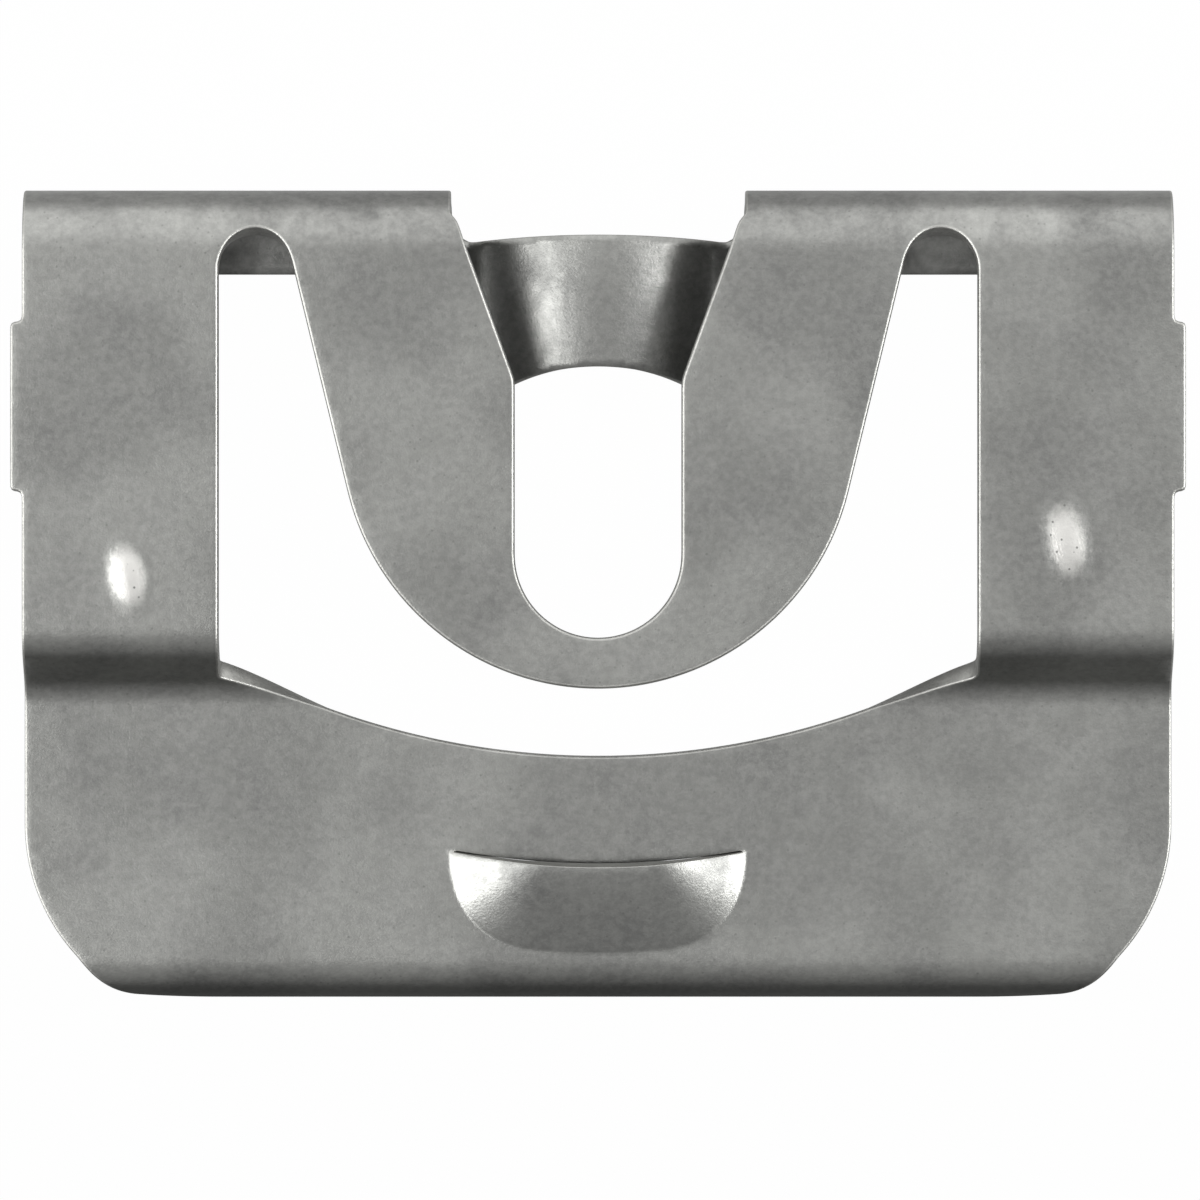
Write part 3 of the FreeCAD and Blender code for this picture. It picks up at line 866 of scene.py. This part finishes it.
class FormingTool:
    """The press and bending tool, as a geometry node tree that turns the flat blank into the clip."""

    def __init__(self, sizes: ClipSizes) -> None:
        """Build the tree's groups.

        Args:
            sizes: The clip's sizes.
        """
        self.sizes = sizes
        self.bend_group = self.make_bend_group()
        self.dimple_group = self.make_dimple_group()
        self.louver_group = self.make_louver_group()
        self.bow_group = self.make_bow_group()

    @staticmethod
    def make_bend_group() -> bpy.types.NodeTree:
        """Group that wraps the sheet beyond a line round a roller, towards its back or its front.

        Returns:
            The group, which turns a position into the bent position.
        """
        wire = GroupWiring("bend_over_roller", "GeometryNodeTree")
        x, y, z = wire.parts(*wire.ask("Position", sort="Vector"))
        start, radius, angle, run, fold = wire.ask("Start", "Radius", "Angle", "Run", "Fold")
        beyond = (y - start) * run
        turn = wire.math("MINIMUM", wire.positive(beyond / radius), angle)
        straight = beyond - radius * turn
        reach = radius + fold * z
        sine, cosine = wire.math("SINE", turn), wire.math("COSINE", turn)
        out = reach * sine + straight * cosine
        drop = reach * cosine - radius - straight * sine
        return wire.close({"Position": wire.vector(x, start + run * out, fold * drop)})

    @staticmethod
    def make_dimple_group() -> bpy.types.NodeTree:
        """Group that gives the height of a bell-shaped bump over the flat sheet.

        Returns:
            The group, which turns a position into a height.
        """
        wire = GroupWiring("press_dimple", "GeometryNodeTree")
        x, y, _ = wire.parts(*wire.ask("Position", sort="Vector"))
        centre_x, centre_y, half_width, half_length = wire.ask("Centre X", "Centre Y", "Half Width", "Half Length")
        tilt, height = wire.ask("Tilt", "Height")
        aside, along = x - centre_x, y - centre_y
        sine, cosine = wire.math("SINE", tilt), wire.math("COSINE", tilt)
        u = (aside * cosine - along * sine) / half_width
        v = (aside * sine + along * cosine) / half_length
        left = wire.positive(1.0 - (u * u + v * v))
        return wire.close({"Height": left * left * height})

    @staticmethod
    def make_louver_group() -> bpy.types.NodeTree:
        """Group that gives the height of the louver: a scoop that rises from a D-shaped root to the lanced lip.

        Returns:
            The group, which turns a position into a height, and whether the position is below the lance cut.
        """
        wire = GroupWiring("raise_louver", "GeometryNodeTree")
        x, y, _ = wire.parts(*wire.ask("Position", sort="Vector"))
        line, half, flat, reach, radius = wire.ask("Line", "Half Width", "Flat Half", "Reach", "Lance Radius")
        blend, crown, lean, blunt, height = wire.ask("Blend", "Crown", "Lean", "Blunt", "Height")
        away = wire.math("ABSOLUTE", x)
        sag = wire.leg(radius, wire.math("MINIMUM", away, half)) - wire.leg(radius, half)
        down = line - sag - y
        past = wire.positive(away - flat) / (half - flat)
        low = wire.positive(lean + (1.0 - lean) * (down / reach))
        spread = wire.math("POWER", past, blunt) + wire.math("POWER", low, blunt)
        spread = wire.math("POWER", spread, 2.0 / blunt)
        root = wire.math("SQRT", 1.0 + crown * crown) - crown
        fall = wire.math("SQRT", spread + crown * crown) - crown
        raw = (1.0 - fall / root) * height
        return wire.close({"Height": wire.math("SMOOTH_MAX", raw, 0.0, blend),
                           "Below": wire.math("GREATER_THAN", down, 0.0)})

    @staticmethod
    def make_bow_group() -> bpy.types.NodeTree:
        """Group that lays the middle of the back leg over a bowed former, on a crest between two foot arcs.

        Returns:
            The group, which turns a position into the bowed position.
        """
        wire = GroupWiring("bow_over_former", "GeometryNodeTree")
        x, y, z = wire.parts(*wire.ask("Position", sort="Vector"))
        fold_y, leg_start, leg_z, half = wire.ask("Fold Y", "Leg Start", "Leg Z", "Half Width")
        crest, crest_z, crest_half, foot = wire.ask("Crest Radius", "Crest Z", "Crest Half", "Foot Radius")
        away = wire.math("ABSOLUTE", x)
        on_crest = wire.math("LESS_THAN", away, crest_half)
        on_foot = 1.0 - on_crest
        sine = on_crest * (away / crest) + on_foot * (wire.positive(half - away) / foot)
        cosine = wire.math("SQRT", wire.positive(1.0 - sine * sine))
        middle = on_crest * (crest_z + crest * cosine) + on_foot * (leg_z + foot * (1.0 - cosine))
        new_x = x - wire.math("SIGN", x) * sine * z
        return wire.close({"Position": wire.vector(new_x, fold_y + leg_start - y, middle - z * cosine)})

    def bow_sizes(self) -> dict[str, float]:
        """Work out the bridge's former from the bow's width and rise.

        Returns:
            The bow group's inputs, in metres.
        """
        s = self.sizes
        reach = (s.bow_half ** 2 + s.bow_rise ** 2) / (2 * s.bow_rise)
        crest = reach - s.bow_foot
        return in_metres({"Fold Y": s.fold_y, "Leg Start": s.fold.end, "Leg Z": s.leg_z, "Half Width": s.bow_half,
                          "Crest Radius": crest, "Crest Z": s.leg_z + s.bow_rise - crest,
                          "Crest Half": crest * s.bow_half / reach, "Foot Radius": s.bow_foot})

    def tree(self) -> bpy.types.NodeTree:
        """The whole tree: press, bend, bow and dress.

        Returns:
            A tree whose inputs are the blank, the sheet's waviness and relief, and the two finishes.
        """
        s = self.sizes
        wire = GroupWiring("form_clip", "GeometryNodeTree")
        (sheet,) = wire.ask("Geometry", sort="Geometry")
        wire.ask("Waviness", "Wave Size", "Louver Height", "Dimple Height")
        face_finish, rim_finish = wire.ask("Face Finish", "Rim Finish", sort="Material")
        blank = wire.take("GeometryNodeInputPosition")
        x, y, z = wire.parts(blank)
        away = wire.math("ABSOLUTE", x)
        pressed, crest_wear_and_highlight = self.press(wire, blank)
        wave = self.wave(wire, blank)
        px, py, pz = wire.parts(pressed)
        place = wire.vector(px, py, pz + wave)
        tip = s.tongue_centre - s.tongue_radius - s.tongue_margin
        on_tongue = (wire.math("LESS_THAN", away, s.tongue_radius * MM)
                     * wire.math("GREATER_THAN", y, tip * MM))
        stepped = place
        for bend in (s.curl, s.joggle_out, s.joggle_down):
            stepped = self.bend(wire, stepped, bend)
        folded = self.bend(wire, wire.blend("VECTOR", on_tongue, stepped, place), s.fold)
        bowed = wire.use(self.bow_group, {"Position": wire.vector(x, y, z + wave), **self.bow_sizes()})
        notch = s.on_leg(s.notch_end + s.notch_corner)
        past_notch = wire.ramp(y, (notch - s.notch_corner) * MM, notch * MM)
        strap = wire.ramp(away, s.notch_half * MM, (s.notch_half - s.notch_corner) * MM)
        shaped = wire.blend("VECTOR", past_notch * strap, folded, bowed["Position"])
        # Keep how far up a dimple each point lies: the mask for the crests' colour, which is partly wear and partly
        # a painted highlight.
        crest_marked_sheet = wire.take("GeometryNodeStoreNamedAttribute",
                           {"Geometry": sheet, "Name": "crest_wear_and_highlight", "Value": crest_wear_and_highlight},
                           data_type="FLOAT", domain="POINT")
        formed = wire.take("GeometryNodeSetPosition", {"Geometry": crest_marked_sheet, "Position": shaped})
        real = wire.take("GeometryNodeRealizeInstances", {0: formed})
        faces = wire.take("GeometryNodeSetMaterial", {"Geometry": real, "Material": face_finish})
        cut = wire.take("GeometryNodeInputNamedAttribute", {"Name": "cut_face"}, data_type="BOOLEAN")
        return wire.close({"Geometry": wire.take("GeometryNodeSetMaterial", {
            "Geometry": faces, "Selection": cut, "Material": rim_finish})})

    def press(self, wire: GroupWiring, blank: Signal) -> tuple[Signal, Signal]:
        """Raise the louver and the dimples, with the sheet's thickness kept square to the pressed surface.

        Args:
            wire: The tree.
            blank: Position on the flat blank.

        Returns:
            The pressed position, and how far up a dimple a point lies, from zero to one.
        """
        nudge = 0.02 * MM
        x, y, z = wire.parts(blank)
        below = self.louver(wire, blank)["Below"]
        heights = []
        for aside, along in ((0.0, 0.0), (nudge, 0.0), (0.0, nudge)):
            spot = wire.vector(x + aside, y + along, z)
            bump = sum(self.dimple(wire, spot, dimple) for dimple in self.sizes.dimples)
            heights.append((self.louver(wire, spot)["Height"] * below + bump, bump))
        (rise, bump), (beside, _), (beyond, _) = heights
        lean_x, lean_y = (beside - rise) / nudge, (beyond - rise) / nudge
        pressed = wire.vector(x - z * lean_x, y - z * lean_y, z + rise)
        return pressed, bump / wire.given["Dimple Height"]

    def wave(self, wire: GroupWiring, blank: Signal) -> Signal:
        """Raise the slight waves that rolling and tumbling leave in the front plate, none where the clip rests.

        Args:
            wire: The tree.
            blank: Position on the flat blank.

        Returns:
            The waves' height there.
        """
        s = self.sizes
        x, y, _ = wire.parts(blank)
        noise = wire.noise(wire.vector(x, y, 0.0), 1.0 / wire.given["Wave Size"], 1.0)
        share = (wire.ramp(y, s.curl.end * MM, s.curl.start * MM)
                 * wire.ramp(y, s.fold.start * MM, (s.fold.start - s.fold.radius) * MM))
        return (noise - 0.5) * wire.given["Waviness"] * share

    def louver(self, wire: GroupWiring, spot: Signal) -> dict[str, Signal]:
        """Place the louver group in the tree.

        Args:
            wire: The tree.
            spot: Position on the flat blank.

        Returns:
            The group's outputs, by name.
        """
        s = self.sizes
        lengths = {"Line": s.louver_line, "Half Width": s.louver_half, "Flat Half": s.louver_flat,
                   "Reach": s.louver_reach, "Lance Radius": (s.lance_radius + s.lip_radius) / 2,
                   "Blend": s.louver_blend}
        return wire.use(self.louver_group, {
            "Position": spot, "Height": wire.given["Louver Height"], "Crown": s.louver_crown,
            "Lean": s.louver_lean, "Blunt": s.louver_blunt, **in_metres(lengths)})

    def dimple(self, wire: GroupWiring, spot: Signal, dimple: Dimple) -> Signal:
        """Place the dimple group in the tree.

        Args:
            wire: The tree.
            spot: Position on the flat blank.
            dimple: The dimple's place and sizes.

        Returns:
            The dimple's height there.
        """
        lengths = {"Centre X": dimple.x, "Centre Y": dimple.y, "Half Width": dimple.half_width,
                   "Half Length": dimple.half_length}
        return wire.use(self.dimple_group, {"Position": spot, "Height": wire.given["Dimple Height"],
                                            "Tilt": dimple.tilt, **in_metres(lengths)})["Height"]

    def bend(self, wire: Wiring, place: Signal, bend: Bend) -> Signal:
        """Place the bend group in the tree.

        Args:
            wire: The tree.
            place: Position before the bend.
            bend: The bend's place and sizes.

        Returns:
            The position after it.
        """
        return wire.use(self.bend_group, {
            "Position": place, "Angle": bend.angle, "Run": bend.run.value, "Fold": bend.fold.value,
            **in_metres({"Start": bend.start, "Radius": bend.radius})})["Position"]

    def form(self, piece: bpy.types.Object, values: dict[str, object]) -> None:
        """Run the tree on the blank and keep its result as a plain mesh.

        Args:
            piece: The flat blank.
            values: The tree's inputs, by name.
        """
        tree = self.tree()
        modifier = piece.modifiers.new("forming", "NODES")
        modifier.node_group = tree
        for item in tree.interface.items_tree:
            if item.name in values and item.in_out == "INPUT":
                modifier[item.identifier] = values[item.name]
        graph = bpy.context.evaluated_depsgraph_get()
        formed = bpy.data.meshes.new_from_object(piece.evaluated_get(graph), preserve_all_data_layers=True,
                                                 depsgraph=graph)
        piece.modifiers.clear()
        piece.data = formed
        formed.name = piece.name


@dataclass(frozen=True)
class SteelFinish:
    """Satin phosphated spring steel, tumbled after forming. Its colours have an alpha of one."""

    name: str
    light: tuple[float, ...]
    dark: tuple[float, ...]
    rough: float
    grain_bump: float
    # Crest colour: worn bare steel, made brighter still as a painted highlight.
    bare_steel_and_highlight: tuple[float, ...] = (0.8, 0.79, 0.76, 1.0)
    bare_rough: float = 0.3
    rough_spread: float = 0.12
    patch: float = 1.7 * MM
    grain: float = 0.06 * MM
    bump_height: float = 0.01 * MM
    cloud_share: float = 0.46
    stain_share: float = 0.27
    fleck_share: float = 0.27
    pit_shade: float = 0.5


class Finishes:
    """The steel's two finishes, which share their mottle and their grain."""

    def __init__(self) -> None:
        """Build the shared groups and both materials."""
        self.mottle = self.make_mottle()
        self.grain = self.make_grain()
        self.face = self.make_face(SteelFinish("satin_steel_face", light=(0.348, 0.35, 0.334, 1.0),
                                               dark=(0.148, 0.149, 0.144, 1.0), rough=0.36, grain_bump=0.42))
        self.rim = self.make_rim(SteelFinish("sheared_steel_rim", light=(0.45, 0.45, 0.43, 1.0),
                                             dark=(0.2, 0.2, 0.19, 1.0), rough=0.42, grain_bump=0.6))

    @staticmethod
    def make_mottle() -> bpy.types.NodeTree:
        """Make the cloudy patches that the coating bath leaves, at two sizes.

        Returns:
            The group, which turns a position into both patches' strength.
        """
        wire = GroupWiring("coating_mottle", "ShaderNodeTree")
        (place,), (patch,) = wire.ask("Vector", sort="Vector"), wire.ask("Patch")
        scale, wide = 1.0 / patch, 0.35
        cloud = wire.noise(place, scale, 6.0, Roughness=0.62, Distortion=0.5)
        stain = wire.noise(place, scale * wide, 2.0)
        return wire.close({"Cloud": wire.ramp(cloud, 0.3, 0.7), "Stain": wire.ramp(stain, 0.38, 0.62)})

    @staticmethod
    def make_grain() -> bpy.types.NodeTree:
        """Make the fine crystals, the flecks between them and a few pits.

        Returns:
            The group, which turns a position into the flecks, the pits and the grain's height.
        """
        wire = GroupWiring("phosphate_grain", "ShaderNodeTree")
        (place,), (size,) = wire.ask("Vector", sort="Vector"), wire.ask("Grain")
        scale, fleck_scale, pit_scale = 1.0 / size, 0.3, 0.22
        pit_rim, pit_floor = 0.16, 0.05
        grain = wire.noise(place, scale, 2.0, Roughness=0.6)
        fleck = wire.noise(place, scale * fleck_scale, 5.0, Roughness=0.75)
        pit = wire.take("ShaderNodeTexVoronoi", {"Vector": place, "Scale": scale * pit_scale}, "Distance")
        return wire.close({"Fleck": wire.ramp(fleck, 0.33, 0.67), "Pit": wire.ramp(pit, pit_rim, pit_floor),
                           "Height": grain + fleck})

    def texture(self, wire: Wiring, finish: SteelFinish) -> tuple[Signal, Signal, Signal, Signal]:
        """Wire the coating's tone, its mottle and its grain.

        Args:
            wire: The material's tree.
            finish: The finish's sizes.

        Returns:
            The blend from dark to light, the cloudiness, the pits and the grain's height.
        """
        place = wire.take("ShaderNodeTexCoord", output="Object")
        mottle = wire.use(self.mottle, {"Vector": place, "Patch": finish.patch})
        grain = wire.use(self.grain, {"Vector": place, "Grain": finish.grain})
        tone = (mottle["Cloud"] * finish.cloud_share + mottle["Stain"] * finish.stain_share
                + grain["Fleck"] * finish.fleck_share)
        return tone * (1.0 - grain["Pit"] * finish.pit_shade), mottle["Cloud"], grain["Pit"], grain["Height"]

    @staticmethod
    def finish_off(wire: Wiring, finish: SteelFinish, colour: Signal, rough: Signal, height: Signal) -> None:
        """Wire the metal's shader and its output.

        Args:
            wire: The material's tree.
            finish: The finish's sizes.
            colour: The metal's colour.
            rough: Its roughness.
            height: The grain's height.
        """
        normal = wire.take("ShaderNodeBump", {"Height": height, "Strength": finish.grain_bump,
                                              "Distance": finish.bump_height})
        steel = wire.take("ShaderNodeBsdfPrincipled", {"Base Color": colour, "Metallic": 1.0, "Roughness": rough,
                                                       "Normal": normal})
        wire.add("ShaderNodeOutputMaterial", {0: steel})

    def make_face(self, finish: SteelFinish) -> bpy.types.Material:
        """Dress the rolled faces: mottled coating, and on the dimples' crests a near-white colour that is partly
        worn bare steel and partly a painted highlight.

        Args:
            finish: The finish's sizes.

        Returns:
            The material.
        """
        material, wire = new_material(finish.name)
        tone, cloud, pit, height = self.texture(wire, finish)
        coated_below, full_crest_above, tone_share = 0.3, 1.1, 0.3
        coating = wire.blend("RGBA", tone, finish.dark, finish.light)
        # The dimple-crest mask paints a near-white, smoother crest: partly wear through the coating, partly a
        # painted highlight.
        crest_wear_and_highlight = wire.take("ShaderNodeAttribute", output="Fac", attribute_name="crest_wear_and_highlight")
        worn_and_highlight = wire.ramp(crest_wear_and_highlight + tone * tone_share, coated_below, full_crest_above) * (1.0 - pit)
        colour = wire.blend("RGBA", worn_and_highlight, coating, finish.bare_steel_and_highlight)
        rough = finish.rough + (0.5 - cloud) * finish.rough_spread
        rough = rough + worn_and_highlight * (finish.bare_rough - rough)
        self.finish_off(wire, finish, colour, rough, height)
        return material

    def make_rim(self, finish: SteelFinish) -> bpy.types.Material:
        """Dress the sheared rims: a burnished land that the punch leaves, above a coarse fracture.

        Args:
            finish: The finish's sizes.

        Returns:
            The material.
        """
        material, wire = new_material(finish.name)
        tone, cloud, _, height = self.texture(wire, finish)
        streaks_per_mm, stretch, streak_share = 14.0, 0.15, 0.4
        land_ends, fracture_starts, fracture_shade = 0.42, 0.56, 0.45
        cloud_roughness = 0.05
        along = wire.take("ShaderNodeAttribute", output="Fac", attribute_name="along")
        through = wire.take("ShaderNodeAttribute", output="Fac", attribute_name="through")
        streak = wire.noise(wire.vector(along, through * stretch, 0.0), streaks_per_mm, 3.0)
        torn = wire.ramp(through + (streak - 0.5) * 0.5, land_ends, fracture_starts)
        tone = (tone * (1.0 - streak_share) + streak * streak_share) * (1.0 - torn * fracture_shade)
        colour = wire.blend("RGBA", tone, finish.dark, finish.light)
        rough = finish.rough + torn * finish.rough_spread + cloud * cloud_roughness
        self.finish_off(wire, finish, colour, rough, height + streak)
        return material


def in_metres(lengths: dict[str, float]) -> dict[str, float]:
    """The same lengths in metres instead of millimetres."""
    return {name: length * MM for name, length in lengths.items()}


def new_material(name: str) -> tuple[bpy.types.Material, Wiring]:
    """Start a material on an empty tree.

    Args:
        name: The material's name.

    Returns:
        The material and its wiring.
    """
    material = bpy.data.materials.new(name)
    material.use_nodes = True
    material.node_tree.nodes.clear()
    return material, Wiring(material.node_tree)


@dataclass(frozen=True)
class Lamp:
    """A soft lamp: the way it lies from the clip, as angles from straight above, and its size there."""

    name: str
    aside: float
    along: float
    width: float
    height: float
    glow: float
    distance: float = 0.45

    @property
    def place(self) -> Vector:
        """Where it hangs."""
        across, up = math.tan(math.radians(self.aside)), math.tan(math.radians(self.along))
        return Vector((across, up, 1.0)).normalized() * self.distance


@dataclass(frozen=True)
class Studio:
    """A pale floor, soft lamps and a long lens straight above the clip.

    The surroundings' light is told by the way it comes from: across, and along the clip from -1 to 1. It grows
    over top_ramp towards the clip's top edge and fades over low_ramp below its bottom edge.
    """

    frame_width: float = 30.78 * MM
    centre: tuple[float, float] = (0.05 * MM, -1.17 * MM)
    lens: float = 400.0
    sensor: float = 36.0
    floor_size: float = 3.0
    floor_gap: float = 0.01 * MM
    floor_tones: tuple[float, float] = (0.32, 0.05)
    floor_turn: tuple[float, float] = (-6.0 * MM, -11.0 * MM)
    floor_lift: float = 0.99
    zenith: float = 0.52
    above: float = 1.2
    below: float = 0.32
    top_ramp: tuple[float, float] = (-0.05, 0.62)
    low_ramp: tuple[float, float] = (-0.72, -1.1)
    low_turn: float = -0.4
    lamps: tuple[Lamp, ...] = (
        Lamp("left_lamp", -55.0, -16.0, 0.25, 0.66, 5.2),
        Lamp("right_lamp", 51.0, -1.0, 0.25, 0.28, 10.0),
    )

    def build(self) -> None:
        """Set up the floor, the surroundings, the lamps and the camera."""
        self.add_floor()
        self.add_surroundings()
        for lamp in self.lamps:
            self.add_lamp(lamp)
        self.add_camera()
        bpy.context.scene.view_settings.view_transform = "Standard"

    def add_floor(self) -> None:
        """Lay the floor just under the clip, white to the camera and, as a painted dark reflection, darker in
        reflections past its low edge.
        """
        half = self.floor_size / 2
        level = CAD_LOW.z - self.floor_gap
        mesh = bpy.data.meshes.new("floor")
        mesh.from_pydata([(-half, -half, level), (half, -half, level), (half, half, level), (-half, half, level)],
                         [], [(0, 1, 2, 3)])
        floor = bpy.data.objects.new("floor", mesh)
        bpy.context.scene.collection.objects.link(floor)
        material, wire = new_material("pale_floor")
        seen = wire.math("MAXIMUM", *(wire.take("ShaderNodeLightPath", output=ray)
                                      for ray in ("Is Camera Ray", "Is Transmission Ray")))
        _, y, _ = wire.parts(wire.take("ShaderNodeTexCoord", output="Object"))
        # Painted dark reflection: the floor's colour ramps darker past the clip's low edge, and only reflections
        # see it.
        tone = wire.ramp(y, *self.floor_turn, *self.floor_tones)
        plain = wire.take("ShaderNodeBsdfDiffuse", {"Color": wire.vector(tone, tone, tone)})
        white = wire.take("ShaderNodeEmission", {"Color": WHITE, "Strength": 1.0})
        mixed = wire.take("ShaderNodeMixShader", {0: seen * self.floor_lift, 1: plain, 2: white})
        wire.add("ShaderNodeOutputMaterial", {0: mixed})
        mesh.materials.append(material)

    def add_surroundings(self) -> None:
        """Surround the clip with a soft studio: bright above its top edge, dark below its bottom edge."""
        world = bpy.data.worlds.new("studio")
        world.use_nodes = True
        world.node_tree.nodes.clear()
        wire = Wiring(world.node_tree)
        x, y, _ = wire.parts(wire.take("ShaderNodeTexCoord", output="Generated"))
        top = wire.ramp(y, *self.top_ramp, 0.0, self.above)
        low = wire.ramp(y + x * self.low_turn, *self.low_ramp, 0.0, -self.below)
        camera = wire.take("ShaderNodeLightPath", output="Is Camera Ray")
        strength = wire.math("MAXIMUM", camera, self.zenith + top + low)
        wire.add("ShaderNodeOutputWorld", {0: wire.take("ShaderNodeBackground",
                                                        {"Color": WHITE, "Strength": strength})})
        bpy.context.scene.world = world

    @staticmethod
    def add_lamp(lamp: Lamp) -> None:
        """Hang a soft lamp that faces the clip.

        Args:
            lamp: The lamp's place, size and glow.
        """
        data = bpy.data.lights.new(lamp.name, "AREA")
        data.shape = "RECTANGLE"
        data.size, data.size_y = lamp.width, lamp.height
        data.energy = lamp.glow * math.pi * lamp.width * lamp.height
        hung = bpy.data.objects.new(lamp.name, data)
        hung.location = lamp.place
        hung.rotation_euler = (-lamp.place).to_track_quat("-Z", "Y").to_euler()
        hung.visible_camera = False
        bpy.context.scene.collection.objects.link(hung)

    def add_camera(self) -> None:
        """Look straight down on the clip, as the photograph does."""
        data = bpy.data.cameras.new("camera")
        data.sensor_width = self.sensor
        data.lens = self.lens
        camera = bpy.data.objects.new("camera", data)
        away = self.frame_width * self.lens / self.sensor
        camera.location = (*self.centre, ClipSizes().front * MM + away)
        data.clip_end = 10 * away
        bpy.context.scene.collection.objects.link(camera)
        bpy.context.scene.camera = camera


@dataclass(frozen=True)
class Clip:
    """The clip's one piece: the folded sheet."""

    sizes: ClipSizes
    finishes: Finishes
    waviness: float = 0.02
    wave_size: float = 4.0

    def build(self) -> bpy.types.Object:
        """Press and fold the sheet and put it in the frame.

        Returns:
            The finished piece.
        """
        sheet = SheetPress(self.sizes).build("folded_sheet")
        lengths = {"Waviness": self.waviness, "Wave Size": self.wave_size,
                   "Louver Height": self.sizes.louver_height, "Dimple Height": self.sizes.dimple_height}
        FormingTool(self.sizes).form(sheet, {"Face Finish": self.finishes.face, "Rim Finish": self.finishes.rim,
                                             **in_metres(lengths)})
        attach(sheet, "root")
        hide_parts(NODE)
        LOG.info("folded sheet: %d faces", len(sheet.data.polygons))
        return sheet


def main() -> None:
    """Build the clip and the studio."""
    logging.basicConfig(level=logging.INFO, format="%(name)s: %(message)s")
    Clip(ClipSizes(), Finishes()).build()
    Studio().build()


if __name__ == "__main__":
    main()
